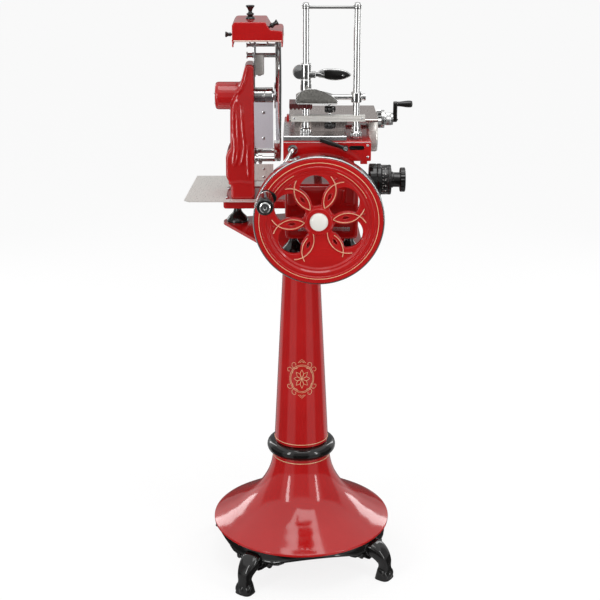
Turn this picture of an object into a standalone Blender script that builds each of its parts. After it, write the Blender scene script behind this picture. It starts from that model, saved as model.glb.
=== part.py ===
"""Hand crank meat slicer on a cast pedestal.

Units are metres, +Z is up, and the operator stands on the -Y side.
X runs from the slice tray on the left to the feed crank on the right.
The blade turns in a Y-Z plane, the carriage slides along Y past it, and
the flywheel turns in an X-Z plane in front of the machine.
"""
import math

import bmesh
import bpy
from mathutils import Matrix, Vector

for old in list(bpy.data.objects):
    bpy.data.objects.remove(old, do_unlink=True)

# Shared clearances and fineness
GAP = 0.0003
OVERRUN = 0.004
ROUND_STEPS = 20
FINE_STEPS = 32
WHEEL_STEPS = 48
MEDIUM_STEPS = 14
SMALL_STEPS = 10
SMOOTH_ANGLE = math.radians(35)

# Pedestal, measured from the floor up
LEG_TURN = math.radians(11.5)
LEG_COUNT = 4
APRON_RADIUS = 0.232
APRON_HEIGHT = 0.032
APRON_WIDTH = 0.030
APRON_ARCH_RISE = 0.021
FOOT_SPREAD = 0.032
FOOT_PAD_RADIUS = 0.026
FOOT_PAD_HEIGHT = 0.018
PAW_DIP_SHARE = 0.14
LEG_RADIUS = 0.0272
LEG_DROP = 0.080
RIM_OVERHANG = 0.009
RIM_TOP = 0.118
RIM_THICKNESS = 0.0065
# Leg centreline from the apron outward: reach past the apron, height and radius as shares
LEG_SHARES = (
    (-0.84, 1.0, 0.96), (0.06, 0.98, 0.975), (0.72, 0.86, 0.90), (1.14, 0.66, 0.83),
    (1.26, 0.45, 0.76), (1.18, 0.275, 0.735), (1.18, 0.21, 0.55),
)
BELL_TOP = 0.312
BELL_TOP_RADIUS = 0.0745
BELL_WALL = 0.007
COLLAR_HEIGHT = 0.034
COLLAR_RADIUS = 0.0925
COLLAR_SHOULDER = 0.079
COLLAR_BORE = 0.058
COLUMN_FOOT_RADIUS = 0.0728
COLUMN_HEAD_RADIUS = 0.0455
COLUMN_WALL = 0.007
COLUMN_TOP = 0.912
COLUMN_FLANGE_RADIUS = 0.066
COLUMN_FLANGE = 0.010
PLATE_THICKNESS = 0.008
PLATE_EDGE = 0.038

FOOT_REACH = APRON_RADIUS + FOOT_SPREAD
RIM_RADIUS = APRON_RADIUS + RIM_OVERHANG

# Radius and height along the bell, as shares from the top ring to the rim
BELL_SHARES = (
    (0.0, 1.0), (0.021, 0.918), (0.057, 0.768), (0.135, 0.603),
    (0.273, 0.423), (0.483, 0.268), (0.724, 0.139), (0.904, 0.05), (1.0, 0.0),
)

# Rubber feet of the machine and where they stand on the pedestal plate
REST_HEIGHT = 0.042
REST_RADIUS = 0.0295
REST_NECK_RADIUS = 0.0095
REST_SHARES = ((1.0, 0.0), (1.0, 0.09), (0.86, 0.26), (0.62, 0.44), (0.40, 0.66), (0.32, 0.86))
LEFT_REST = (-0.171, 0.140)
FRONT_LEFT_REST = (-0.020, -0.150)
FRONT_RIGHT_REST = (0.118, -0.150)
BACK_RIGHT_REST = (0.110, 0.225)

# Machine base casting
BASE_LEFT = -0.040
BASE_RIGHT = 0.138
BASE_FRONT = -0.205
BASE_BACK = 0.290
BASE_TOP = 1.100
BASE_WALL = 0.007
BASE_ROUND = 0.012
LEDGE_LEFT = -0.207
LEDGE_FRONT = 0.098
LEDGE_BACK = 0.255
LEDGE_TOP = 0.9876

# Blade and its shaft, turning about an X axis
BLADE_Y = 0.170
BLADE_Z = 1.253
BLADE_EDGE_X = -0.0555
BLADE_RADIUS = 0.159
BLADE_DISH = 0.010
BLADE_THICKNESS = 0.003
BLADE_BEVEL = 0.024
SHAFT_RADIUS = 0.008
SHAFT_LEFT = -0.204
SHAFT_FLANGE_RADIUS = 0.034
SHAFT_FLANGE = 0.005
CLAMP_PLATE_RADIUS = 0.058
CLAMP_PLATE = 0.0035
HOUSING_RADIUS = 0.0218
HOUSING_RIGHT = -0.0745
HOUSING_SINK = 0.006
GUARD_CLEARANCE = 0.0025
GUARD_WIDTH = 0.0105
GUARD_LEFT = -0.0705
GUARD_RIGHT = -0.0545
GUARD_START = math.radians(-35)
GUARD_END = math.radians(-234)
GUARD_ARM_RADIUS = 0.0068
GUARD_ARM_REACH = 0.052
LATCH_RADIUS = 0.0105
LATCH_WIDTH = 0.010
LATCH_X = -0.108
LATCH_STEM = 0.0022
LATCH_LENGTH = 0.027
LATCH_BALL = 0.0062

# Arm casting that carries the blade shaft
ARM_FRONT = 0.100
ARM_BACK = 0.244
ARM_RIGHT = -0.1235
ARM_TOP_DROP = 0.073
ARM_WALL = 0.006
ARM_ROUND = 0.006
ARM_TOP_DEPTH_SHARE = 0.60
BOSS_RADIUS = 0.0365
BOSS_LEFT = -0.2265
BOSS_ROUND = 0.007
# Left outline of the arm from the ledge to the top, reach from ARM_RIGHT and height shares
ARM_REACH = 0.0755
ARM_OUTLINE_SHARES = (
    (0.83, 0.0), (0.83, 0.115), (0.94, 0.143), (1.0, 0.175), (1.0, 0.325), (0.94, 0.357), (0.84, 0.385),
    (0.83, 0.66), (0.74, 0.73), (0.56, 0.81), (0.44, 0.88), (0.34, 0.96), (0.29, 1.0),
)

# Plates between the arm and the blade
SIDE_PLATE_RIGHT = -0.0735
SIDE_PLATE_RISE = 0.0294
SIDE_PLATE_HEIGHT = 0.120
SIDE_PLATE_Y = 0.116
DEFLECTOR_RIGHT = -0.0735
DEFLECTOR_DROP = 0.0106
DEFLECTOR_HEIGHT = 0.044
DEFLECTOR_Y = 0.100
SHEET = 0.002
SHEET_FLANGE = 0.016

# Slice tray
TRAY_LEFT = -0.310
TRAY_RIGHT = -0.070
TRAY_FRONT = 0.074
TRAY_BACK = 0.374
TRAY_CORNER = 0.014
TRAY_CLEARANCE = 0.001

# Sharpener on top of the arm, with heights from the blade's top edge
HOOD_LEFT = -0.1765
HOOD_RIGHT = -0.047
HOOD_FRONT = 0.090
HOOD_BACK = 0.250
HOOD_SINK = 0.010
HOOD_HEIGHT = 0.050
HOOD_FLAP = 0.0135
HOOD_WALL = 0.0022
HOOD_STEP_X = -0.0915
HOOD_STEP_RUN = 0.0120
HOOD_STEP_DROP = 0.0195
HOOD_SHOULDER_DROP = 0.0215
HOOD_SHOULDER = 0.007
HOOD_ROUND = 0.011
POST_WIDTH = 0.060
POST_THICKNESS = 0.004
POST_SINK = 0.106
UPPER_ROD_SINK = 0.0275
UPPER_ROD_RADIUS = 0.004
UPPER_ROD_RIGHT = -0.069
LOWER_ROD_SINK = 0.0535
LOWER_ROD_RADIUS = 0.0058
LOWER_ROD_RIGHT = -0.0675
ROD_LEFT = -0.143
BLOCK_X = -0.1095
BLOCK_RADIUS = 0.0135
BLOCK_SINK = 0.107
TOP_KNOB_X = -0.132
TOP_KNOB_HEIGHT = 0.034
TOP_KNOB_RADIUS = 0.0116
SIDE_KNOB_LENGTH = 0.015
SIDE_KNOB_RADIUS = 0.0072
SIDE_SPINDLE_RADIUS = 0.003
STONE_RADIUS = 0.0145
STONE_LENGTH = 0.016
STONE_STROKE = 0.006
RIGHT_KNOB_ANGLE = math.radians(30)
RIGHT_KNOB_LENGTH = 0.021
RIGHT_KNOB_RADIUS = 0.0078
RIGHT_KNOB_STAND = 0.005
RIGHT_KNOB_STROKE = 0.003

# Flywheel, turning about a Y axis
WHEEL_X = 0.041
WHEEL_Z = 1.031
WHEEL_FRONT = -0.285
WHEEL_BACK = -0.240
WHEEL_RADIUS = 0.156
WHEEL_FACE_RADIUS = 0.152
WHEEL_RIM_WIDTH = 0.026
WHEEL_STEP = 0.004
WHEEL_WEB = 0.014
WHEEL_WEB_SINK = 0.0075
WHEEL_HUB_RADIUS = 0.033
PETAL_COUNT = 6
PETAL_START = math.radians(7)
PETAL_CENTRE = 0.0738
OPENING_RADIUS = 0.0370
PETAL_CURVE_RADIUS = 0.0528
OPENING_HUB = 0.036
SLOT_LENGTH = 0.0145
SLOT_WIDTH = 0.0046
HUB_CAP_RADIUS = 0.0218
HUB_CAP_HEIGHT = 0.011
AXLE_RADIUS = 0.0125
CRANK_ANGLE = math.radians(153)
CRANK_THROW = 0.139
CRANK_PIN_RADIUS = 0.0058
CRANK_SEAT_RADIUS = 0.0125
CRANK_SEAT = 0.006
GRIP_LENGTH = 0.104
GRIP_RADIUS = 0.0205
GRIP_NECK_RADIUS = 0.0125
GRIP_CAP = 0.004
GRIP_CAP_RADIUS = 0.0128

# Bevel gears at the crossing of the axle, the cross shaft and the crank shaft
MITRE_RADIUS = 0.029
MITRE_FACE = 0.010
MITRE_BODY = 0.006
MITRE_TEETH = 12
MITRE_CLEARANCE = 0.0005
MITRE_TOOTH = 0.0030
MITRE_HUB_RADIUS = 0.015
CROSS_SHAFT_RADIUS = 0.009
CRANK_SHAFT_RADIUS = 0.009

# Chain drive inside the arm
CHAIN_X = -0.150
CHAIN_WIDTH = 0.006
CHAIN_THICKNESS = 0.005
LOWER_SPROCKET_RADIUS = 0.0340
UPPER_SPROCKET_RADIUS = 0.0136
SPROCKET_THICKNESS = 0.004
SPROCKET_HUB = 0.012
LOWER_TEETH = 20
UPPER_TEETH = 8
SPROCKET_TOOTH = 0.0016
CHAIN_GAP = 0.0008
CHAIN_SPACE = 0.0025

# Crank and connecting rod that drive the carriage
CRANK_Y = 0.085
CRANK_ARM_Z = 1.103
CRANK_ARM_THICKNESS = 0.010
CRANK_ARM_THROW = 0.070
CRANK_ARM_WIDTH = 0.0195
ROD_THICKNESS = 0.009
ROD_EYE_RADIUS = 0.0098
ROD_LENGTH = 0.170
ROD_PIN_RADIUS = 0.005
OPEN_PIVOT_GAP = 0.0015

# Carriage and its guide rods
CARRIAGE_LEFT = -0.0435
CARRIAGE_RIGHT = 0.166
CARRIAGE_FRONT = -0.200
CARRIAGE_BACK = 0.120
CARRIAGE_BOTTOM = 1.158
CARRIAGE_TOP = 1.2065
CARRIAGE_WALL = 0.007
GUIDE_LEFT_X = -0.022
GUIDE_RIGHT_X = 0.115
GUIDE_Z = 1.150
GUIDE_RADIUS = 0.006
BEARING_HALF = 0.0108
BEARING_LENGTH = 0.028
BEARING_BACK_Y = 0.060
BRACKET_HALF = 0.011
BRACKET_THICKNESS = 0.012
BRACKET_FRONT = -0.231
PORT_X = -0.021
PORT_Z = 1.186
PORT_RADIUS = 0.0120
SLOT_LEFT = 0.1135
SLOT_RIGHT = 0.150
SLOT_Z = 1.190
SLOT_HEIGHT = 0.011
LUG_LEFT = 0.141
LUG_RIGHT = 0.157
LUG_DROP = 0.007
TOP_PLATE_RIGHT = 0.108
TOP_PLATE_BACK = -0.012
TOP_PLATE_THICKNESS = 0.0115
DRIVE_ROD_RADIUS = 0.0062
DRIVE_ROD_DROP = 0.046
DRIVE_ROD_LEAN = 0.027
DRIVE_ROD_FORWARD = 0.013
LEVER_PIVOT_X = 0.1045
LEVER_PIVOT_Z = 1.191
LEVER_LENGTH = 0.064
LEVER_RISE = math.radians(160.5)
LEVER_THICKNESS = 0.009
LEVER_WIDTH = 0.0115
LEVER_STEM_RADIUS = 0.004

# Meat table, its feed screw and the feed crank
ROD_Y = -0.170
LEFT_ROD_X = 0.0106
RIGHT_ROD_X = 0.1304
PRESS_ROD_RADIUS = 0.0080
PRESS_ROD_LENGTH = 0.2939
ROD_NUT_RADIUS = 0.0135
ROD_NUT_HEIGHT = 0.029
ACORN_RADIUS = 0.0105
ACORN_HEIGHT = 0.009
CROSSBAR_THICKNESS = 0.0055
CROSSBAR_WIDTH = 0.019
RAIL_LEFT = -0.0248
RAIL_RIGHT = 0.1515
RAIL_BOTTOM = 1.2495
RAIL_TOP = 1.2640
RAIL_DEPTH = 0.022
RAIL_TAB = 0.020
TABLE_LEFT = -0.030
TABLE_RIGHT = 0.185
TABLE_FRONT = -0.150
TABLE_BACK = 0.045
TABLE_THICKNESS = 0.0065
TABLE_TOP = 1.2490
FEED_Y = 0.030
FEED_Z = 1.217
FEED_SCREW_RADIUS = 0.0055
FEED_SCREW_LEFT = -0.034
SCREW_POST_WIDTH = 0.012
FEED_NUT_WIDTH = 0.030
FEED_NUT_HALF = 0.011
END_DISC_RADIUS = 0.040
END_DISC_Y = -0.015
END_DISC_Z = 1.1835
END_DISC_THICKNESS = 0.024
END_BOSS_RADIUS = 0.0185
RATCHET_RADIUS = 0.0205
RATCHET_TEETH = 14
RATCHET_TOOTH = 0.0022
RATCHET_WIDTH = 0.012
FEED_FLANGE_RADIUS = 0.0225
FEED_FLANGE = 0.008
FEED_HUB_RADIUS = 0.0153
FEED_HUB_LENGTH = 0.022
FEED_ARM_LENGTH = 0.038
FEED_ARM_THICKNESS = 0.010
FEED_ARM_WIDTH = 0.016
FEED_GRIP_LENGTH = 0.038
FEED_GRIP_RADIUS = 0.0087

# Rail clamp screw with a star knob at each end
STAR_X = 0.0675
STAR_RADIUS = 0.0142
STAR_LOBES = 5
STAR_HEIGHT = 0.015
STAR_STEM_RADIUS = 0.004
STAR_STEM = 0.0065
STAR_LOWER_STEM = 0.0030

# Meat press on the two rods
SLIDER_BOTTOM = 1.322
SLIDER_TOP = 1.386
SLIDER_RADIUS = 0.0130
SLIDER_BORE_CLEARANCE = 0.0004
KNURL_X = -0.0095
KNURL_RADIUS = 0.017
KNURL_THICKNESS = 0.012
KNURL_Z = 1.366
PRESS_ARM_Z = 1.3065
PRESS_ARM_RADIUS = 0.0066
COLLAR_CLAMP_RADIUS = 0.0125
COLLAR_CLAMP_HEIGHT = 0.024
END_KNOB_X = 0.1525
PRESS_LEVER_X = 0.0290
PRESS_LEVER_Z = 1.3600
PRESS_LEVER_LENGTH = 0.088
PRESS_LEVER_HEIGHT = 0.027
PRESS_LEVER_THICKNESS = 0.016
PRESS_LEVER_PIN = 0.0022
PRESS_LEVER_END = 0.0042
PRESS_CHEEK = 0.0025
PRESS_PLATE_LEFT = -0.013
PRESS_PLATE_RIGHT = 0.084
PRESS_PLATE_BOTTOM = 1.2965
PRESS_PLATE_RISE = 0.0350
PRESS_PLATE_DEPTH = 0.100
PRESS_PLATE_FRONT = -0.205
PRESS_PLATE_BACK_SHARE = 0.45
GRIPPER_LEFT = -0.029
GRIPPER_RIGHT = 0.0255
GRIPPER_HEIGHT = 0.0145
GRIPPER_TEETH = 6
GRIPPER_DEPTH = 0.065

# Thickness control on the right of the base
DIAL_Y = -0.080
DIAL_Z = 1.085
DIAL_CUP_LEFT = 0.1685
DIAL_CUP_RIGHT = 0.198
DIAL_CUP_RADIUS = 0.040
DIAL_CUP_WALL = 0.009
DIAL_NECK_RADIUS = 0.014
DIAL_RADIUS = 0.0368
DIAL_WIDTH = 0.0245
DIAL_STEM_RADIUS = 0.0183
DIAL_STEM = 0.0225
DIAL_KNOB_RADIUS = 0.0305
DIAL_KNOB = 0.013
DIAL_SPINDLE = 0.006
DIAL_SPINDLE_DEPTH = 0.020

# Places worked out from the sizes above
BLADE_TOP = BLADE_Z + BLADE_RADIUS
ARM_TOP = BLADE_TOP - ARM_TOP_DROP
SIDE_KNOB_Z = BLADE_TOP
HOOD_BOTTOM = BLADE_TOP - HOOD_SINK
HOOD_TOP = HOOD_BOTTOM + HOOD_HEIGHT
POST_BOTTOM = BLADE_TOP - POST_SINK
UPPER_ROD_Z = BLADE_TOP - UPPER_ROD_SINK
LOWER_ROD_Z = BLADE_TOP - LOWER_ROD_SINK
BLOCK_BOTTOM = BLADE_TOP - BLOCK_SINK
APRON_TOP = RIM_TOP - RIM_THICKNESS - GAP
COLLAR_BOTTOM = BELL_TOP + GAP
COLUMN_BOTTOM = COLLAR_BOTTOM + COLLAR_HEIGHT + GAP
PLATE_BOTTOM = COLUMN_TOP + GAP
PLATE_TOP = PLATE_BOTTOM + PLATE_THICKNESS
REST_BOTTOM = PLATE_TOP + GAP
BASE_BOTTOM = REST_BOTTOM + REST_HEIGHT + GAP
ARM_BOTTOM = LEDGE_TOP + GAP
PRESS_ROD_TOP = CARRIAGE_TOP + GAP + TOP_PLATE_THICKNESS + GAP + PRESS_ROD_LENGTH
TRAY_BOTTOM = LEDGE_TOP + GAP
GRIP_FRONT = WHEEL_FRONT - GAP - CRANK_SEAT - GAP - GRIP_LENGTH
PIN_END = GRIP_FRONT - GAP - GRIP_CAP
FEED_SHAFT_LEFT = CARRIAGE_RIGHT + GAP + END_DISC_THICKNESS + GAP
FEED_FLANGE_X = FEED_SHAFT_LEFT + RATCHET_WIDTH
FEED_HUB_X = FEED_FLANGE_X + FEED_FLANGE
FEED_ARM_X = FEED_HUB_X + FEED_HUB_LENGTH + GAP
FEED_GRIP_X = FEED_ARM_X + FEED_ARM_THICKNESS + GAP
FEED_GRIP_END = FEED_GRIP_X + FEED_GRIP_LENGTH
SHIFT_X = -(TRAY_LEFT + FEED_GRIP_END) / 2
SHIFT_Y = -(PIN_END + TRAY_BACK) / 2

parts = bpy.data.collections.new("hand_crank_meat_slicer")
cutters = bpy.data.collections.new("cutters")
bpy.context.scene.collection.children.link(parts)
bpy.context.scene.collection.children.link(cutters)

floor_centre = bpy.data.objects.new("floor_centre", None)
floor_centre.location = (SHIFT_X, SHIFT_Y, 0)
parts.objects.link(floor_centre)


def make_material(name, colour, roughness, metallic):
    material = bpy.data.materials.new(name)
    material.use_nodes = True
    shader = material.node_tree.nodes["Principled BSDF"]
    shader.inputs["Base Color"].default_value = (*colour, 1)
    shader.inputs["Roughness"].default_value = roughness
    shader.inputs["Metallic"].default_value = metallic
    return material


RED = make_material("red_enamel", (0.48, 0.012, 0.012), 0.18, 0.0)
BLACK = make_material("black_enamel", (0.01, 0.01, 0.011), 0.15, 0.0)
KNOB_BLACK = make_material("black_bakelite", (0.012, 0.012, 0.013), 0.25, 0.0)
CHROME = make_material("chrome", (0.78, 0.77, 0.75), 0.08, 1.0)
STEEL = make_material("brushed_steel", (0.62, 0.62, 0.61), 0.32, 1.0)
GREY = make_material("grey_aluminium", (0.35, 0.34, 0.31), 0.40, 0.8)
CREAM = make_material("tray_aluminium", (0.70, 0.68, 0.64), 0.45, 0.6)
PEARL = make_material("pearl_cap", (0.82, 0.81, 0.77), 0.22, 0.1)
MAROON = make_material("maroon_teeth", (0.10, 0.012, 0.015), 0.35, 0.2)
STONE = make_material("grinding_stone", (0.60, 0.58, 0.54), 0.90, 0.0)
RUBBER = make_material("black_rubber", (0.015, 0.015, 0.015), 0.55, 0.0)

AXIS_TURN = {
    "X": (0, math.pi / 2, 0),
    "Y": (-math.pi / 2, 0, 0),
    "Z": (0, 0, 0),
}
PLANE_TURN = {
    "XY": (0, 0, 0),
    "XZ": (math.pi / 2, 0, 0),
    "YZ": (math.pi / 2, 0, math.pi / 2),
}


def settle(item, at, turn, material, cutter):
    """Put an object in its collection, at its place, under the common root."""
    (cutters if cutter else parts).objects.link(item)
    item.parent = floor_centre
    item.location = at
    item.rotation_euler = turn
    if cutter:
        item.hide_render = True
        item.display_type = "WIRE"
    else:
        item.data.materials.append(material)
        item.data.shade_smooth()
        item.data.set_sharp_from_angle(angle=SMOOTH_ANGLE)
    return item


def turned(name, profile, axis, at, material=None, steps=ROUND_STEPS, ring=False, cutter=False):
    """Turn a profile of (radius, height) points, listed from the top down its outer side."""
    mesh = bpy.data.meshes.new(name)
    points = [(radius, 0, height) for radius, height in profile]
    edges = [(i, i + 1) for i in range(len(points) - 1)]
    if ring:
        edges.append((len(points) - 1, 0))
    mesh.from_pydata(points, edges, [])
    item = bpy.data.objects.new(name, mesh)
    screw = item.modifiers.new("turn", "SCREW")
    screw.axis = "Z"
    screw.steps = steps
    screw.render_steps = steps
    screw.use_merge_vertices = True
    screw.merge_threshold = 0.00001
    return settle(item, at, AXIS_TURN[axis], material, cutter)


def rod(name, radius, low, high, axis, at, material=None, steps=SMALL_STEPS, cutter=False):
    """A plain cylinder from low to high along the axis, measured from at."""
    profile = ((0, high), (radius, high), (radius, low), (0, low))
    return turned(name, profile, axis, at, material, steps, cutter=cutter)


def drill(name, radius, low, high, axis, at, steps=SMALL_STEPS):
    """A cutter whose flats, not its corners, lie at the radius."""
    return rod(name, radius / math.cos(math.pi / steps), low, high, axis, at, steps=steps, cutter=True)


def sleeve(name, outer, bore, low, high, axis, at, material=None, steps=ROUND_STEPS):
    """A plain ring from low to high along the axis."""
    profile = ((bore, high), (outer, high), (outer, low), (bore, low))
    return turned(name, profile, axis, at, material, steps, ring=True)


def box(name, low, high, material=None, round_by=0, segments=1, at=(0, 0, 0), cutter=False):
    """A box between two corners, with its origin at the given point."""
    mesh = bpy.data.meshes.new(name)
    cube = bmesh.new()
    bmesh.ops.create_cube(cube, size=1)
    size = Vector(high) - Vector(low)
    centre = (Vector(high) + Vector(low)) / 2 - Vector(at)
    bmesh.ops.scale(cube, vec=size, verts=cube.verts)
    bmesh.ops.translate(cube, vec=centre, verts=cube.verts)
    cube.to_mesh(mesh)
    cube.free()
    item = bpy.data.objects.new(name, mesh)
    settle(item, at, (0, 0, 0), material, cutter)
    if round_by:
        soften(item, round_by, segments)
    return item


def soften(item, width, segments=1):
    bevel = item.modifiers.new("soften", "BEVEL")
    bevel.width = width
    bevel.segments = segments
    bevel.limit_method = "ANGLE"
    bevel.angle_limit = math.radians(40)


def to_mesh(item, name):
    """Change a curve object for a welded mesh object in the same place."""
    bpy.context.view_layer.update()
    graph = bpy.context.evaluated_depsgraph_get()
    mesh = bpy.data.meshes.new_from_object(item.evaluated_get(graph))
    weld = bmesh.new()
    weld.from_mesh(mesh)
    bmesh.ops.remove_doubles(weld, verts=weld.verts, dist=0.00001)
    bmesh.ops.recalc_face_normals(weld, faces=weld.faces)
    weld.to_mesh(mesh)
    weld.free()
    bpy.data.objects.remove(item, do_unlink=True)
    mesh.name = name
    return bpy.data.objects.new(name, mesh)


def plate(name, outlines, thickness, plane, at, material=None, cutter=False):
    """Fill flat outlines, holes included, and give them a thickness about the plane."""
    curve = bpy.data.curves.new(name, "CURVE")
    curve.dimensions = "2D"
    curve.fill_mode = "BOTH"
    curve.extrude = thickness / 2
    for outline in outlines:
        spline = curve.splines.new("POLY")
        spline.points.add(len(outline) - 1)
        for point, (u, v) in zip(spline.points, outline):
            point.co = (u, v, 0, 1)
        spline.use_cyclic_u = True
    flat = bpy.data.objects.new(name, curve)
    bpy.context.scene.collection.objects.link(flat)
    item = to_mesh(flat, name)
    return settle(item, at, PLANE_TURN[plane], material, cutter)


def tube(name, points, radii, material=None, at=(0, 0, 0), fineness=2, cutter=False):
    """A round bar through a few points, with a radius at each point."""
    curve = bpy.data.curves.new(name, "CURVE")
    curve.dimensions = "3D"
    curve.bevel_depth = 1
    curve.bevel_resolution = fineness
    curve.use_fill_caps = True
    spline = curve.splines.new("POLY")
    spline.points.add(len(points) - 1)
    for point, place, radius in zip(spline.points, points, radii):
        point.co = (*(Vector(place) - Vector(at)), 1)
        point.radius = radius
    bar = bpy.data.objects.new(name, curve)
    bpy.context.scene.collection.objects.link(bar)
    item = to_mesh(bar, name)
    return settle(item, at, (0, 0, 0), material, cutter)


def cut(item, *tools):
    combine(item, "DIFFERENCE", tools)


def join(item, *tools):
    combine(item, "UNION", tools)


def combine(item, operation, tools):
    for tool in tools:
        boolean = item.modifiers.new(tool.name, "BOOLEAN")
        boolean.operation = operation
        boolean.solver = "EXACT"
        boolean.object = tool


def arc(centre, radius, start, end, count):
    """Points on a circle from one angle to another, both ends included."""
    step = (end - start) / count
    return [
        (centre[0] + radius * math.cos(start + i * step), centre[1] + radius * math.sin(start + i * step))
        for i in range(count + 1)
    ]


def circle(centre, radius, count):
    return arc(centre, radius, 0, 2 * math.pi, count)[:-1]


def hull_of_discs(centres, radius, count):
    """Outline around discs of one size, whose centres are listed counterclockwise."""
    outline = []
    total = len(centres)
    for i, centre in enumerate(centres):
        before = centres[i - 1]
        after = centres[(i + 1) % total]
        start = math.atan2(centre[1] - before[1], centre[0] - before[0]) - math.pi / 2
        end = math.atan2(after[1] - centre[1], after[0] - centre[0]) - math.pi / 2
        while end < start + GAP:
            end += 2 * math.pi
        outline += arc(centre, radius, start, end, count)
    return outline


def rounded_rectangle(left, bottom, right, top, radius, count=4):
    centres = (
        (left + radius, bottom + radius), (right - radius, bottom + radius),
        (right - radius, top - radius), (left + radius, top - radius),
    )
    return hull_of_discs(centres, radius, count)


def toothed_outline(radius, tooth, count, lean=0.0):
    """A gear outline: tooth tips at radius + tooth, roots at radius - tooth."""
    outline = []
    pitch = 2 * math.pi / count
    for i in range(count):
        middle = i * pitch
        for share, height in ((-0.30, -1), (-0.14, 1), (0.14 + lean, 1), (0.30, -1)):
            angle = middle + share * pitch
            reach = radius + height * tooth
            outline.append((reach * math.cos(angle), reach * math.sin(angle)))
    return outline


def build_pedestal():
    bell_reach = RIM_RADIUS - BELL_TOP_RADIUS
    bell_height = BELL_TOP - RIM_TOP
    outer = [(BELL_TOP_RADIUS + s * bell_reach, RIM_TOP + h * bell_height) for s, h in BELL_SHARES]
    inner = [
        (radius - BELL_WALL, height - BELL_WALL) for radius, height in reversed(outer[1:-2:2])
    ]
    rim_bottom = RIM_TOP - RIM_THICKNESS
    profile = [(COLLAR_BORE, BELL_TOP)] + outer
    profile += [(RIM_RADIUS, rim_bottom), (APRON_RADIUS - APRON_WIDTH, rim_bottom)]
    profile += inner + [(COLLAR_BORE, BELL_TOP - BELL_WALL)]
    turned("pedestal_bell", profile, "Z", (0, 0, 0), RED, FINE_STEPS, ring=True)

    half = COLLAR_HEIGHT / 2
    middle = COLLAR_BOTTOM + half
    bulge = arc((COLLAR_SHOULDER, middle), half, math.pi / 2, -math.pi / 2, 5)
    reach_share = (COLLAR_RADIUS - COLLAR_SHOULDER) / half
    bulge = [(COLLAR_SHOULDER + (r - COLLAR_SHOULDER) * reach_share, h) for r, h in bulge]
    collar = [(COLLAR_BORE, middle + half)] + bulge + [(COLLAR_BORE, middle - half)]
    turned("pedestal_collar", collar, "Z", (0, 0, 0), BLACK, FINE_STEPS, ring=True)

    flange_bottom = COLUMN_TOP - COLUMN_FLANGE
    column = [
        (0, COLUMN_TOP), (COLUMN_FLANGE_RADIUS, COLUMN_TOP), (COLUMN_FLANGE_RADIUS, flange_bottom),
        (COLUMN_HEAD_RADIUS, flange_bottom - COLUMN_FLANGE), (COLUMN_FOOT_RADIUS, COLUMN_BOTTOM),
        (COLUMN_FOOT_RADIUS - COLUMN_WALL, COLUMN_BOTTOM),
        (COLUMN_HEAD_RADIUS - COLUMN_WALL, flange_bottom - COLUMN_FLANGE), (0, flange_bottom - COLUMN_FLANGE),
    ]
    turned("pedestal_column", column, "Z", (0, 0, 0), RED, FINE_STEPS)

    rests = (LEFT_REST, FRONT_LEFT_REST, FRONT_RIGHT_REST, BACK_RIGHT_REST)
    outline = hull_of_discs(rests, PLATE_EDGE, 8)
    top = plate("pedestal_top_plate", [outline], PLATE_THICKNESS, "XY",
                (0, 0, PLATE_BOTTOM + PLATE_THICKNESS / 2), RED)
    soften(top, PLATE_THICKNESS / 4, 1)


def leg_angle(index):
    """Direction of a leg seen from above, from the front toward the right."""
    return LEG_TURN + math.radians(45) + index * 2 * math.pi / LEG_COUNT


def build_leg_casting():
    """Black base ring with four arches and four cabriole legs, one casting."""
    inner = APRON_RADIUS - APRON_WIDTH
    ring_bottom = APRON_TOP - APRON_HEIGHT
    profile = ((inner, APRON_TOP), (APRON_RADIUS, APRON_TOP), (APRON_RADIUS, ring_bottom), (inner, ring_bottom))
    casting = turned("leg_casting", profile, "Z", (0, 0, 0), BLACK, FINE_STEPS, ring=True)
    arch_radius = (APRON_RADIUS * 0.5) ** 2 / (2 * APRON_ARCH_RISE)
    for index in range(LEG_COUNT):
        angle = leg_angle(index) + math.pi / LEG_COUNT
        arch = rod(f"arch_{index}", arch_radius, 0, RIM_RADIUS + OVERRUN, "X",
                   (0, 0, ring_bottom + APRON_ARCH_RISE - arch_radius), steps=FINE_STEPS * 2, cutter=True)
        arch.rotation_euler = (0, math.pi / 2, angle - math.pi / 2)
        cut(casting, arch)
    for index in range(LEG_COUNT):
        join(casting, *leg_pieces(index))


def leg_pieces(index):
    angle = leg_angle(index)
    outward = Vector((math.sin(angle), -math.cos(angle), 0))
    spine = [
        (APRON_RADIUS + reach * FOOT_SPREAD, height * LEG_DROP, radius * LEG_RADIUS)
        for reach, height, radius in LEG_SHARES
    ]
    points = [outward * reach + Vector((0, 0, height)) for reach, height, _ in spine]
    radii = [radius for _, _, radius in spine]
    leg = tube(f"leg_{index}", points, radii, fineness=2, cutter=True)
    pad = plate(f"foot_pad_{index}", [paw_outline()], FOOT_PAD_HEIGHT, "XY",
                outward * FOOT_REACH + Vector((0, 0, FOOT_PAD_HEIGHT / 2)), cutter=True)
    pad.rotation_euler = (0, 0, angle - math.pi / 2)
    soften(pad, FOOT_PAD_HEIGHT * 0.36, 1)
    return leg, pad


def paw_outline():
    """Outline of a foot with three toes, pointing along +X."""
    outline = []
    count = 24
    for i in range(count):
        angle = 2 * math.pi * i / count
        swing = math.atan2(math.sin(angle), math.cos(angle))
        reach = FOOT_PAD_RADIUS
        if abs(swing) < math.pi / 2:
            reach *= 1 - PAW_DIP_SHARE * (1 - math.cos(3 * swing) ** 2) * math.cos(swing)
        outline.append((reach * math.cos(angle), reach * math.sin(angle)))
    return outline


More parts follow.
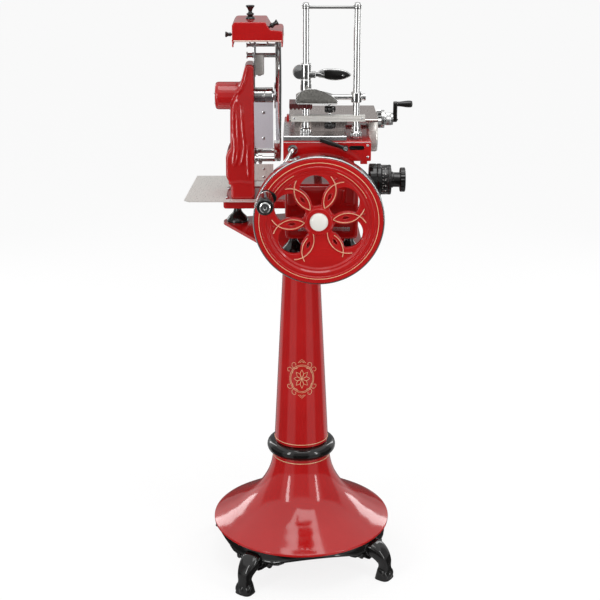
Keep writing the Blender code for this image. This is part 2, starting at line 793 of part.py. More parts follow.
def build_rests():
    places = {
        "left_foot": LEFT_REST,
        "front_left_foot": FRONT_LEFT_REST,
        "front_right_foot": FRONT_RIGHT_REST,
        "back_right_foot": BACK_RIGHT_REST,
    }
    profile = [(0, REST_HEIGHT), (REST_NECK_RADIUS, REST_HEIGHT)]
    profile += [(radius * REST_RADIUS, height * REST_HEIGHT) for radius, height in reversed(REST_SHARES)]
    profile.append((0, 0))
    for name, (x, y) in places.items():
        turned(name, profile, "Z", (x, y, REST_BOTTOM), RUBBER, MEDIUM_STEPS)


def build_machine_base():
    """Hollow casting, open below, with a ledge that carries the arm."""
    base = box("machine_base", (BASE_LEFT, BASE_FRONT, BASE_BOTTOM), (BASE_RIGHT, BASE_BACK, BASE_TOP),
               RED, BASE_ROUND, 3)
    ledge = box("ledge", (LEDGE_LEFT, LEDGE_FRONT, BASE_BOTTOM), (BASE_LEFT + BASE_WALL, LEDGE_BACK, LEDGE_TOP),
                round_by=BASE_WALL / 2, cutter=True)
    join(base, ledge)
    for side, x in (("left", GUIDE_LEFT_X), ("right", GUIDE_RIGHT_X)):
        top = GUIDE_Z + BRACKET_HALF
        front = box(f"front_bracket_{side}", (x - BRACKET_HALF, BRACKET_FRONT, BASE_TOP - BRACKET_HALF * 4),
                    (x + BRACKET_HALF, BASE_FRONT + BASE_WALL, BASE_TOP - BASE_ROUND), cutter=True)
        front_post = box(f"front_post_{side}", (x - BRACKET_HALF, BRACKET_FRONT, BASE_TOP - BRACKET_HALF * 3),
                         (x + BRACKET_HALF, BRACKET_FRONT + BRACKET_THICKNESS, top), cutter=True)
        back = box(f"back_bracket_{side}", (x - BRACKET_HALF, BASE_BACK - BRACKET_THICKNESS, BASE_TOP - BASE_ROUND),
                   (x + BRACKET_HALF, BASE_BACK, top), cutter=True)
        join(base, front, front_post, back)
        cut(base, drill(f"guide_seat_{side}", GUIDE_RADIUS + GAP, BRACKET_FRONT + BRACKET_THICKNESS / 4,
                      BASE_BACK - BRACKET_THICKNESS / 4, "Y", (x, 0, GUIDE_Z)))
    hollow = box("base_hollow",
                 (BASE_LEFT + BASE_WALL, BASE_FRONT + BASE_WALL, BASE_BOTTOM - OVERRUN),
                 (BASE_RIGHT - BASE_WALL, BASE_BACK - BASE_WALL, BASE_TOP - BASE_WALL), cutter=True)
    axle_hole = drill("axle_hole", AXLE_RADIUS + GAP, BASE_FRONT - OVERRUN, BASE_FRONT + BASE_WALL + OVERRUN, "Y",
                    (WHEEL_X, 0, WHEEL_Z), steps=ROUND_STEPS)
    shaft_hole = drill("cross_shaft_hole", CROSS_SHAFT_RADIUS + GAP, BASE_LEFT - OVERRUN,
                     BASE_LEFT + BASE_WALL + OVERRUN, "X", (0, BLADE_Y, WHEEL_Z), steps=ROUND_STEPS)
    crank_hole = drill("crank_shaft_hole", CRANK_SHAFT_RADIUS + GAP, BASE_TOP - BASE_WALL - OVERRUN,
                     BASE_TOP + OVERRUN, "Z", (WHEEL_X, CRANK_Y, 0), steps=ROUND_STEPS)
    ledge_hollow = box("ledge_hollow",
                       (LEFT_REST[0] + REST_NECK_RADIUS * 2, LEDGE_FRONT + BASE_WALL, BASE_BOTTOM - OVERRUN),
                       (BASE_LEFT + BASE_WALL * 2, LEDGE_BACK - BASE_WALL, LEDGE_TOP - BASE_WALL), cutter=True)
    cut(base, hollow, ledge_hollow, axle_hole, shaft_hole, crank_hole)
    for side, (x, y) in (("front_left", FRONT_LEFT_REST), ("front_right", FRONT_RIGHT_REST), ("back_right", BACK_RIGHT_REST)):
        wall_x = BASE_LEFT + BASE_WALL / 2 if side == "front_left" else BASE_RIGHT - BASE_WALL / 2
        reach = REST_NECK_RADIUS * 1.2
        pad = box(f"foot_pad_{side}", (min(wall_x, x - reach), y - reach, BASE_BOTTOM),
                  (max(wall_x, x + reach), y + reach, BASE_BOTTOM + BASE_WALL * 2), cutter=True)
        join(base, pad)
    for side, x in (("left", GUIDE_LEFT_X), ("right", GUIDE_RIGHT_X)):
        rod(f"guide_rod_{side}", GUIDE_RADIUS, BRACKET_FRONT + BRACKET_THICKNESS / 4 + GAP,
            BASE_BACK - BRACKET_THICKNESS / 4 - GAP, "Y", (x, 0, GUIDE_Z), CHROME)


def build_arm():
    """Hollow neck casting with the gear boss on its left, open at the bottom."""
    height = ARM_TOP - ARM_BOTTOM
    middle = (ARM_FRONT + ARM_BACK) / 2
    depth = ARM_BACK - ARM_FRONT
    left = [(ARM_RIGHT - s * ARM_REACH, ARM_BOTTOM + h * height) for s, h in ARM_OUTLINE_SHARES]
    outline = [(ARM_RIGHT, ARM_BOTTOM), (ARM_RIGHT, ARM_TOP)] + left[::-1]
    arm = plate("arm_casting", [outline], depth, "XZ", (0, middle, 0), RED)
    for vertex in arm.data.vertices:
        share = (vertex.co.y - ARM_BOTTOM) / height
        vertex.co.z *= 1 - share * (1 - ARM_TOP_DEPTH_SHARE)
    soften(arm, ARM_ROUND, 2)
    boss = turned("boss", (
        (0, ARM_RIGHT - ARM_WALL), (BOSS_RADIUS, ARM_RIGHT - ARM_WALL), (BOSS_RADIUS, BOSS_LEFT + BOSS_ROUND),
        (BOSS_RADIUS - BOSS_ROUND * 0.3, BOSS_LEFT + BOSS_ROUND * 0.3), (BOSS_RADIUS - BOSS_ROUND, BOSS_LEFT),
        (0, BOSS_LEFT)), "X", (0, BLADE_Y, BLADE_Z), cutter=True)
    join(arm, boss)
    half = LOWER_SPROCKET_RADIUS + SPROCKET_TOOTH + CHAIN_GAP + CHAIN_THICKNESS + CHAIN_SPACE
    cavity = box("chain_space", (ARM_RIGHT - ARM_REACH * 0.79 + ARM_WALL, BLADE_Y - half, ARM_BOTTOM - OVERRUN),
                 (ARM_RIGHT - ARM_WALL, BLADE_Y + half, WHEEL_Z + CROSS_SHAFT_RADIUS * 2), cutter=True)
    space_left = CHAIN_X - CHAIN_WIDTH
    space_right = ARM_RIGHT - ARM_WALL
    upper = plate("chain_space_upper", [belt_outline(CHAIN_THICKNESS + CHAIN_SPACE)], space_right - space_left,
                  "YZ", ((space_left + space_right) / 2, 0, 0), cutter=True)
    shaft_bore = drill("shaft_bore", SHAFT_RADIUS + GAP, SHAFT_LEFT - GAP, ARM_RIGHT + OVERRUN, "X",
                     (0, BLADE_Y, BLADE_Z))
    housing_seat = drill("housing_seat", HOUSING_RADIUS + GAP, ARM_RIGHT - HOUSING_SINK - GAP, ARM_RIGHT + OVERRUN,
                       "X", (0, BLADE_Y, BLADE_Z), steps=ROUND_STEPS)
    cross_bore = drill("cross_bore", CROSS_SHAFT_RADIUS + GAP, ARM_RIGHT - ARM_WALL - OVERRUN, ARM_RIGHT + OVERRUN,
                     "X", (0, BLADE_Y, WHEEL_Z), steps=ROUND_STEPS)
    cut(arm, cavity, upper, shaft_bore, housing_seat, cross_bore)


def build_blade():
    axis = (0, BLADE_Y, BLADE_Z)
    sleeve("blade_bearing_housing", HOUSING_RADIUS, SHAFT_RADIUS + GAP, ARM_RIGHT - HOUSING_SINK, HOUSING_RIGHT,
           "X", axis, CHROME)
    back_face = BLADE_EDGE_X - BLADE_DISH
    flange_right = back_face - GAP
    flange_left = flange_right - SHAFT_FLANGE
    front_face = back_face + BLADE_THICKNESS
    stub_end = front_face + GAP + CLAMP_PLATE
    turned("blade_shaft", (
        (0, stub_end), (SHAFT_RADIUS, stub_end), (SHAFT_RADIUS, flange_right), (SHAFT_FLANGE_RADIUS, flange_right),
        (SHAFT_FLANGE_RADIUS, flange_left), (SHAFT_RADIUS * 1.6, flange_left),
        (SHAFT_RADIUS * 1.6, HOUSING_RIGHT + GAP), (SHAFT_RADIUS, HOUSING_RIGHT + GAP),
        (SHAFT_RADIUS, SHAFT_LEFT), (0, SHAFT_LEFT)), "X", axis, STEEL, MEDIUM_STEPS)
    bore = SHAFT_RADIUS + GAP
    inner_bevel = BLADE_RADIUS - BLADE_BEVEL
    turned("blade", (
        (bore, front_face), (inner_bevel - BLADE_BEVEL / 2, front_face), (inner_bevel, front_face + BLADE_THICKNESS),
        (BLADE_RADIUS, BLADE_EDGE_X), (BLADE_RADIUS - BLADE_THICKNESS / 6, BLADE_EDGE_X - BLADE_THICKNESS / 5),
        (inner_bevel, back_face), (bore, back_face)), "X", axis, CHROME, FINE_STEPS, ring=True)
    sleeve("blade_clamp_plate", CLAMP_PLATE_RADIUS, bore, front_face + GAP, stub_end, "X", axis, CHROME)

    inner = BLADE_RADIUS + GUARD_CLEARANCE
    outer = inner + GUARD_WIDTH
    start = math.pi - GUARD_START
    end = math.pi - GUARD_END
    outline = arc((BLADE_Y, BLADE_Z), outer, start, end, 20) + arc((BLADE_Y, BLADE_Z), inner, end, start, 20)
    guard = plate("blade_guard", [outline], GUARD_RIGHT - GUARD_LEFT, "YZ",
                  ((GUARD_LEFT + GUARD_RIGHT) / 2, 0, 0), CHROME)
    for name, y in (("front", BLADE_Y - GUARD_ARM_REACH), ("back", BLADE_Y + GUARD_ARM_REACH)):
        join(guard, rod(f"guard_arm_{name}", GUARD_ARM_RADIUS, ARM_RIGHT + GAP, GUARD_LEFT + GUARD_ARM_RADIUS, "X",
                        (0, y, guard_arm_height()), cutter=True))

    latch_at = (LATCH_X, BLADE_Y - GUARD_ARM_REACH, guard_arm_height())
    latch = sleeve("guard_latch", LATCH_RADIUS, GUARD_ARM_RADIUS + GAP, -LATCH_WIDTH / 2, LATCH_WIDTH / 2, "X",
                   latch_at, CHROME, MEDIUM_STEPS)
    tip_z = latch_at[2] - LATCH_LENGTH
    stem = rod("latch_stem", LATCH_STEM, -LATCH_LENGTH, -LATCH_RADIUS + LATCH_STEM, "Z", latch_at, cutter=True)
    ball = turned("latch_ball", [(LATCH_BALL * math.sin(a), LATCH_BALL * math.cos(a))
                                 for a in (i * math.pi / 8 for i in range(9))],
                  "Z", (latch_at[0], latch_at[1], tip_z), steps=SMALL_STEPS, cutter=True)
    join(latch, stem, ball)

    cover_bottom = guard_arm_height() + SIDE_PLATE_RISE
    bent_sheet("blade_side_cover", SIDE_PLATE_RIGHT, SIDE_PLATE_Y, cover_bottom, cover_bottom + SIDE_PLATE_HEIGHT,
               STEEL)
    deflector_top = guard_arm_height() - DEFLECTOR_DROP
    bent_sheet("slice_deflector", DEFLECTOR_RIGHT, DEFLECTOR_Y, deflector_top - DEFLECTOR_HEIGHT, deflector_top,
               CREAM)


def guard_arm_height():
    radius = BLADE_RADIUS + GUARD_CLEARANCE + GUARD_WIDTH / 2
    return BLADE_Z - math.sqrt(radius ** 2 - GUARD_ARM_REACH ** 2)


def bent_sheet(name, right, y, bottom, top, material):
    """A sheet that faces the operator, with a flange screwed to the arm's right side."""
    left = ARM_RIGHT + GAP
    outline = (
        (left, y), (right, y), (right, y + SHEET), (left + SHEET, y + SHEET),
        (left + SHEET, y + SHEET_FLANGE), (left, y + SHEET_FLANGE),
    )
    return plate(name, [outline], top - bottom, "XY", (0, 0, (top + bottom) / 2), material)


def build_tray():
    """Flat tray with a notch from the right, in which the arm stands."""
    notch_front = ARM_FRONT - TRAY_CLEARANCE
    notch_back = ARM_BACK + TRAY_CLEARANCE
    notch_left = ARM_RIGHT - ARM_REACH - TRAY_CLEARANCE
    outline = [
        (TRAY_LEFT, TRAY_FRONT + TRAY_CORNER), (TRAY_LEFT + TRAY_CORNER, TRAY_FRONT),
        (TRAY_RIGHT, TRAY_FRONT), (TRAY_RIGHT, notch_front), (notch_left, notch_front),
        (notch_left, notch_back), (TRAY_RIGHT, notch_back), (TRAY_RIGHT, TRAY_BACK),
        (TRAY_LEFT + TRAY_CORNER, TRAY_BACK),
    ]
    plate("slice_tray", [outline], SHEET, "XY", (0, 0, TRAY_BOTTOM + SHEET / 2), CREAM)


def hood_outline(inset, drop):
    """Front outline of the sharpener hood, drawn in by the wall where asked."""
    left = HOOD_LEFT + inset
    right = HOOD_RIGHT - inset
    top = HOOD_TOP - inset
    shift = inset * 0.54
    shoulder = HOOD_SHOULDER - inset
    shoulder_z = HOOD_TOP - HOOD_SHOULDER_DROP - HOOD_SHOULDER
    radius = HOOD_ROUND - inset
    bottom = HOOD_BOTTOM - HOOD_FLAP - drop
    outline = [(left, bottom), (right, bottom)]
    outline += arc((HOOD_RIGHT - HOOD_SHOULDER, shoulder_z), shoulder, 0, math.pi * 0.42, 3)
    outline += [(HOOD_STEP_X + HOOD_STEP_RUN - shift, top - HOOD_STEP_DROP), (HOOD_STEP_X - shift, top)]
    outline += arc((HOOD_LEFT + HOOD_ROUND, HOOD_TOP - HOOD_ROUND), radius, math.pi / 2, math.pi, 4)
    return outline


def build_sharpener():
    middle = (HOOD_FRONT + HOOD_BACK) / 2
    depth = HOOD_BACK - HOOD_FRONT
    hood = plate("sharpener_hood", [hood_outline(0, 0)], depth, "XZ", (0, middle, 0), RED)
    inside = plate("hood_inside", [hood_outline(HOOD_WALL, OVERRUN)], depth - HOOD_WALL * 2, "XZ",
                   (0, middle, 0), cutter=True)
    spindle_hole = drill("left_spindle_hole", SIDE_SPINDLE_RADIUS + GAP, HOOD_LEFT - OVERRUN, HOOD_LEFT + OVERRUN * 2,
                       "X", (0, BLADE_Y, SIDE_KNOB_Z))
    top_hole = drill("top_stud_hole", SIDE_SPINDLE_RADIUS + GAP, HOOD_TOP - OVERRUN * 2, HOOD_TOP + OVERRUN, "Z",
                   (TOP_KNOB_X, BLADE_Y, 0))
    knob_at = right_knob_place()
    slope_hole = drill("slope_hole", SIDE_SPINDLE_RADIUS + GAP, -OVERRUN * 3, OVERRUN * 2, "Z", knob_at)
    slope_hole.rotation_euler = (0, math.pi / 2 - RIGHT_KNOB_ANGLE, 0)
    trims = [box(f"flap_trim_{end}", (HOOD_LEFT + HOOD_WALL * 2, y - HOOD_WALL * 2, HOOD_BOTTOM - HOOD_FLAP - OVERRUN),
                 (HOOD_RIGHT - HOOD_WALL * 2, y + HOOD_WALL * 2, HOOD_BOTTOM), cutter=True)
             for end, y in (("front", HOOD_FRONT), ("back", HOOD_BACK))]
    cut(hood, inside, spindle_hole, top_hole, slope_hole, *trims)

    post_left = ARM_RIGHT + GAP
    post_right = post_left + POST_THICKNESS
    frame = box("sharpener_frame", (post_left, BLADE_Y - POST_WIDTH / 2, POST_BOTTOM),
                (post_right, BLADE_Y + POST_WIDTH / 2, HOOD_TOP - HOOD_WALL - GAP), STEEL)
    frame_hole = drill("frame_hole", SIDE_SPINDLE_RADIUS + GAP, post_left - OVERRUN, post_right + OVERRUN, "X",
                     (0, BLADE_Y, SIDE_KNOB_Z))
    upper = rod("upper_rod", UPPER_ROD_RADIUS, ROD_LEFT, UPPER_ROD_RIGHT, "X", (0, BLADE_Y, UPPER_ROD_Z),
                cutter=True)
    lower = rod("lower_rod", LOWER_ROD_RADIUS, ROD_LEFT, LOWER_ROD_RIGHT, "X", (0, BLADE_Y, LOWER_ROD_Z),
                cutter=True)
    block_top = (LOWER_ROD_Z + UPPER_ROD_Z) / 2
    block_round = BLOCK_RADIUS / 3
    block = turned("felt_block", (
        (0, block_top), (BLOCK_RADIUS * 0.7, block_top), (BLOCK_RADIUS, block_top - block_round),
        (BLOCK_RADIUS, BLOCK_BOTTOM + block_round), (BLOCK_RADIUS - block_round, BLOCK_BOTTOM),
        (0, BLOCK_BOTTOM)), "Z", (BLOCK_X, BLADE_Y, 0), steps=SMALL_STEPS, cutter=True)
    join(frame, upper, lower, block)
    cut(frame, frame_hole)

    shares = ((0, 1.0), (1.0, 1.0), (1.0, 0.93), (0.64, 0.78), (0.42, 0.60), (0.46, 0.44), (0.86, 0.35),
              (0.86, 0.28), (0.64, 0.22), (1.10, 0.08), (1.10, 0))
    spool = [(radius * TOP_KNOB_RADIUS, height * TOP_KNOB_HEIGHT) for radius, height in shares]
    stud = [(SIDE_SPINDLE_RADIUS, 0), (SIDE_SPINDLE_RADIUS, -HOOD_WALL * 2), (0, -HOOD_WALL * 2)]
    turned("hood_top_knob", spool + stud, "Z", (TOP_KNOB_X, BLADE_Y, HOOD_TOP + GAP), KNOB_BLACK)

    back_face = BLADE_EDGE_X - BLADE_DISH
    edge_x = BLADE_EDGE_X - BLADE_THICKNESS / 5
    bevel_share = (SIDE_KNOB_Z - STONE_RADIUS - BLADE_TOP + BLADE_BEVEL) / BLADE_BEVEL
    stone_right = back_face + (edge_x - back_face) * bevel_share - STONE_STROKE - GAP * 2
    stone_left = stone_right - STONE_LENGTH
    knob_right = HOOD_LEFT - GAP - STONE_STROKE
    knob_left = knob_right - SIDE_KNOB_LENGTH
    turned("hood_left_knob", (
        (0, stone_left - GAP), (SIDE_SPINDLE_RADIUS, stone_left - GAP), (SIDE_SPINDLE_RADIUS, knob_right),
        (SIDE_KNOB_RADIUS * 0.62, knob_right), (SIDE_KNOB_RADIUS * 0.62, (knob_left + knob_right) / 2),
        (SIDE_KNOB_RADIUS, knob_left + SIDE_KNOB_LENGTH * 0.2), (SIDE_KNOB_RADIUS, knob_left), (0, knob_left)),
        "X", (0, BLADE_Y, SIDE_KNOB_Z), KNOB_BLACK, MEDIUM_STEPS)
    rod("grinding_stone", STONE_RADIUS, stone_left, stone_right, "X", (0, BLADE_Y, SIDE_KNOB_Z), STONE, MEDIUM_STEPS)

    length = RIGHT_KNOB_LENGTH
    knob = spool_profile(length, RIGHT_KNOB_RADIUS, RIGHT_KNOB_RADIUS * 0.6)
    knob = [(radius, height + RIGHT_KNOB_STAND) for radius, height in knob]
    stem = [(SIDE_SPINDLE_RADIUS, RIGHT_KNOB_STAND), (SIDE_SPINDLE_RADIUS, -HOOD_WALL * 2), (0, -HOOD_WALL * 2)]
    right = turned("hood_right_knob", knob + stem, "Z", knob_at, KNOB_BLACK, MEDIUM_STEPS)
    right.rotation_euler = (0, math.pi / 2 - RIGHT_KNOB_ANGLE, 0)


def right_knob_place():
    """Low on the stepped face of the hood, toward the operator."""
    share = 0.74
    x = HOOD_STEP_X + HOOD_STEP_RUN * share
    z = HOOD_TOP - HOOD_STEP_DROP * share
    return (x, HOOD_FRONT + (HOOD_BACK - HOOD_FRONT) * 0.12, z)


def spool_profile(height, radius, waist):
    """A spool knob from its top to its foot."""
    return [
        (0, height), (radius * 0.96, height), (radius, height * 0.94), (waist, height * 0.62),
        (waist, height * 0.42), (radius * 0.80, height * 0.10), (radius * 0.80, 0),
    ]


def petal_opening(middle):
    """One opening of the wheel: inside its own circle, outside both neighbour circles."""
    own = Vector((PETAL_CENTRE * math.cos(middle), PETAL_CENTRE * math.sin(middle)))
    turn = 2 * math.pi / PETAL_COUNT
    outline = []
    count = 60
    for i in range(count):
        angle = middle + math.pi * 2 * i / count
        ray = Vector((math.cos(angle), math.sin(angle)))
        reach = OPENING_RADIUS
        for side in (-1, 1):
            near = Vector((PETAL_CENTRE * math.cos(middle + side * turn), PETAL_CENTRE * math.sin(middle + side * turn)))
            offset = own - near
            b = ray.dot(offset)
            c = offset.dot(offset) - PETAL_CURVE_RADIUS ** 2
            root = b * b - c
            if root > 0 and -b - math.sqrt(root) > 0:
                reach = min(reach, -b - math.sqrt(root))
        b = ray.dot(own)
        c = own.dot(own) - OPENING_HUB ** 2
        root = b * b - c
        if root > 0 and -b - math.sqrt(root) > 0:
            reach = min(reach, -b - math.sqrt(root))
        outline.append(tuple(own + ray * reach))
    return outline[::3]


def slot_outline(angle):
    """A lens shaped slot along one petal."""
    reach = PETAL_CENTRE * math.cos(math.pi / PETAL_COUNT)
    along = Vector((math.cos(angle), math.sin(angle)))
    across = Vector((-along.y, along.x))
    outline = []
    for share_u, share_v in ((-1, 0), (-0.5, -0.8), (0, -1), (0.5, -0.8), (1, 0), (0.5, 0.8), (0, 1), (-0.5, 0.8)):
        outline.append(tuple(along * (reach + share_u * SLOT_LENGTH / 2) + across * (share_v * SLOT_WIDTH / 2)))
    return outline


def build_flywheel():
    centre = (WHEEL_X, 0, WHEEL_Z)
    rim_inner = WHEEL_FACE_RADIUS - WHEEL_RIM_WIDTH
    web_front = WHEEL_FRONT + WHEEL_WEB_SINK
    web_back = web_front + WHEEL_WEB
    edge = WHEEL_RADIUS - WHEEL_FACE_RADIUS
    bore = AXLE_RADIUS + GAP
    wheel = turned("flywheel", (
        (bore, WHEEL_BACK), (WHEEL_HUB_RADIUS * 0.85, WHEEL_BACK), (WHEEL_HUB_RADIUS * 0.85, web_back),
        (rim_inner, web_back), (rim_inner + edge, WHEEL_BACK), (WHEEL_RADIUS - edge / 2, WHEEL_BACK),
        (WHEEL_RADIUS, WHEEL_BACK + edge / 2), (WHEEL_RADIUS, WHEEL_FRONT + edge),
        (WHEEL_FACE_RADIUS, WHEEL_FRONT), (rim_inner, WHEEL_FRONT),
        (rim_inner - WHEEL_STEP, WHEEL_FRONT + WHEEL_WEB_SINK / 2),
        (rim_inner - WHEEL_STEP * 2, WHEEL_FRONT + WHEEL_WEB_SINK / 2),
        (rim_inner - WHEEL_STEP * 3, web_front), (WHEEL_HUB_RADIUS + WHEEL_STEP, web_front),
        (WHEEL_HUB_RADIUS, WHEEL_FRONT), (bore, WHEEL_FRONT)), "Y", centre, RED, WHEEL_STEPS, ring=True)
    outlines = []
    for index in range(PETAL_COUNT):
        angle = PETAL_START + index * 2 * math.pi / PETAL_COUNT
        outlines.append(slot_outline(angle))
        if index != PETAL_COUNT - 2:
            outlines.append(petal_opening(angle + math.pi / PETAL_COUNT))
    windows = plate("wheel_windows", outlines, WHEEL_WEB * 3, "XZ",
                    (WHEEL_X, web_front + WHEEL_WEB / 2, WHEEL_Z), cutter=True)
    cut(wheel, windows)

    cap_back = WHEEL_FRONT - GAP
    cap = [(0, cap_back), (HUB_CAP_RADIUS, cap_back)]
    cap += [(HUB_CAP_RADIUS * math.cos(a), cap_back - HUB_CAP_HEIGHT * (0.25 + 0.75 * math.sin(a)))
            for a in (i * math.pi / 12 for i in range(6))]
    cap.append((0, cap_back - HUB_CAP_HEIGHT))
    turned("hub_cap", cap, "Y", centre, PEARL)

    axle = rod("main_axle", AXLE_RADIUS, WHEEL_FRONT + GAP, BLADE_Y - gear_distance() + MITRE_FACE, "Y", centre,
               STEEL, MEDIUM_STEPS)
    join(axle, bevel_gear("crank_drive_gear", "Y", (WHEEL_X, CRANK_Y - gear_distance(), WHEEL_Z), 1, cutter=True))

    x = WHEEL_X + CRANK_THROW * math.cos(CRANK_ANGLE)
    z = WHEEL_Z + CRANK_THROW * math.sin(CRANK_ANGLE)
    seat_back = WHEEL_FRONT - GAP
    seat_front = seat_back - CRANK_SEAT
    turned("crank_pin", (
        (0, seat_back), (CRANK_SEAT_RADIUS, seat_back), (CRANK_SEAT_RADIUS, seat_front),
        (CRANK_PIN_RADIUS, seat_front), (CRANK_PIN_RADIUS, GRIP_FRONT - GAP), (GRIP_CAP_RADIUS, GRIP_FRONT - GAP),
        (GRIP_CAP_RADIUS, PIN_END + GRIP_CAP / 3), (GRIP_CAP_RADIUS * 0.8, PIN_END), (0, PIN_END)),
        "Y", (x, 0, z), CHROME, MEDIUM_STEPS)
    grip_back = seat_front - GAP
    bore = CRANK_PIN_RADIUS + GAP
    turned("crank_grip", (
        (bore, grip_back), (GRIP_NECK_RADIUS, grip_back), (GRIP_NECK_RADIUS, grip_back - GRIP_LENGTH * 0.06),
        (GRIP_RADIUS * 0.84, grip_back - GRIP_LENGTH * 0.22), (GRIP_RADIUS * 0.95, grip_back - GRIP_LENGTH * 0.5),
        (GRIP_RADIUS, grip_back - GRIP_LENGTH * 0.82), (GRIP_RADIUS * 0.96, grip_back - GRIP_LENGTH * 0.97),
        (GRIP_RADIUS * 0.85, GRIP_FRONT), (bore, GRIP_FRONT)), "Y", (x, 0, z), KNOB_BLACK, MEDIUM_STEPS, ring=True)


def bevel_gear(name, axis, at, facing, material=None, cutter=False):
    """A mitre gear whose teeth face along the axis, its cone tip at the crossing point."""
    outer = MITRE_RADIUS
    big = toothed_outline(outer, MITRE_TOOTH, MITRE_TEETH)
    shares = ((1.0, 0.0), ((outer - MITRE_FACE) / outer, MITRE_FACE))
    gear = bmesh.new()
    rings = []
    back = [gear.verts.new((u * 0.93, v * 0.93, -MITRE_BODY)) for u, v in big]
    rings.append(back)
    for share, lift in shares:
        rings.append([gear.verts.new((u * share, v * share, lift)) for u, v in big])
    for below, above in zip(rings, rings[1:]):
        total = len(below)
        for i in range(total):
            gear.faces.new((below[i], below[(i + 1) % total], above[(i + 1) % total], above[i]))
    gear.faces.new(reversed(rings[0]))
    gear.faces.new(rings[-1])
    if facing < 0:
        bmesh.ops.rotate(gear, verts=gear.verts, matrix=Matrix.Rotation(math.pi, 3, "X"))
    mesh = bpy.data.meshes.new(name)
    gear.to_mesh(mesh)
    gear.free()
    item = bpy.data.objects.new(name, mesh)
    return settle(item, at, AXIS_TURN[axis], material, cutter)


def gear_distance():
    """How far the wide end of each mitre gear stands from the crossing point."""
    return MITRE_RADIUS + MITRE_TOOTH + MITRE_CLEARANCE


def build_gears():
    gear_y = BLADE_Y - gear_distance()
    axle_gear = bevel_gear("axle_bevel_gear", "Y", (WHEEL_X, gear_y, WHEEL_Z), 1, STEEL)
    cut(axle_gear, drill("axle_gear_bore", AXLE_RADIUS + GAP, -MITRE_RADIUS, MITRE_RADIUS, "Y",
                       (WHEEL_X, gear_y, WHEEL_Z), steps=MEDIUM_STEPS))

    gear_x = WHEEL_X - gear_distance()
    shaft_left = CHAIN_X - SPROCKET_HUB
    cross = bevel_gear("cross_shaft", "X", (gear_x, BLADE_Y, WHEEL_Z), 1, STEEL)
    join(cross, rod("cross_rod", CROSS_SHAFT_RADIUS, shaft_left, gear_x, "X", (0, BLADE_Y, WHEEL_Z), steps=MEDIUM_STEPS,
                    cutter=True))

    gear_z = WHEEL_Z + gear_distance()
    drive = bevel_gear("drive_crank", "Z", (WHEEL_X, CRANK_Y, gear_z), -1, STEEL)
    arm_top = CRANK_ARM_Z + CRANK_ARM_THICKNESS
    shaft = rod("crank_rod", CRANK_SHAFT_RADIUS, gear_z, arm_top - GAP, "Z", (WHEEL_X, CRANK_Y, 0), steps=MEDIUM_STEPS,
                cutter=True)
    pin_y = CRANK_Y - CRANK_ARM_THROW
    outline = hull_of_discs(((WHEEL_X, pin_y), (WHEEL_X, CRANK_Y)), CRANK_ARM_WIDTH / 2, 8)
    arm = plate("crank_web", [outline], CRANK_ARM_THICKNESS, "XY", (0, 0, CRANK_ARM_Z + CRANK_ARM_THICKNESS / 2),
                cutter=True)
    pin_top = arm_top + GAP + ROD_THICKNESS
    pin = rod("crank_web_pin", ROD_PIN_RADIUS, CRANK_ARM_Z + CRANK_ARM_THICKNESS / 2, pin_top, "Z",
              (WHEEL_X, pin_y, 0), cutter=True)
    join(drive, shaft, arm, pin)

    eye_y = pin_y - ROD_LENGTH
    rod_z = arm_top + GAP + ROD_THICKNESS / 2
    bar = plate("connecting_rod", [
        hull_of_discs(((WHEEL_X, eye_y), (WHEEL_X, pin_y)), ROD_EYE_RADIUS, 8),
        circle((WHEEL_X, pin_y), ROD_PIN_RADIUS + GAP, 16),
        circle((WHEEL_X, eye_y), ROD_PIN_RADIUS + GAP, 16),
    ], ROD_THICKNESS, "XY", (0, 0, rod_z), STEEL)
    soften(bar, ROD_THICKNESS / 8, 1)

    low = (0, BLADE_Y, WHEEL_Z)
    high = (0, BLADE_Y, BLADE_Z)
    sprocket("lower_sprocket", LOWER_SPROCKET_RADIUS, LOWER_TEETH, CROSS_SHAFT_RADIUS, low)
    sprocket("upper_sprocket", UPPER_SPROCKET_RADIUS, UPPER_TEETH, SHAFT_RADIUS, high)
    build_chain()


def sprocket(name, radius, teeth, shaft, at):
    outlines = [toothed_outline(radius, SPROCKET_TOOTH, teeth), circle((0, 0), shaft + GAP, 24)]
    return plate(name, outlines, SPROCKET_THICKNESS, "YZ", (CHAIN_X, at[1], at[2]), STEEL)


def belt_outline(extra):
    """Outline around both sprockets at a distance outside their teeth."""
    low = LOWER_SPROCKET_RADIUS + SPROCKET_TOOTH + CHAIN_GAP + extra
    high = UPPER_SPROCKET_RADIUS + SPROCKET_TOOTH + CHAIN_GAP + extra
    lean = math.asin((low - high) / (BLADE_Z - WHEEL_Z))
    outline = arc((BLADE_Y, WHEEL_Z), low, math.pi - lean, 2 * math.pi + lean, 10)
    outline += arc((BLADE_Y, BLADE_Z), high, lean, math.pi - lean, 7)
    return outline


def build_chain():
    plate("drive_chain", [belt_outline(CHAIN_THICKNESS), belt_outline(0)], CHAIN_WIDTH, "YZ", (CHAIN_X, 0, 0), STEEL)


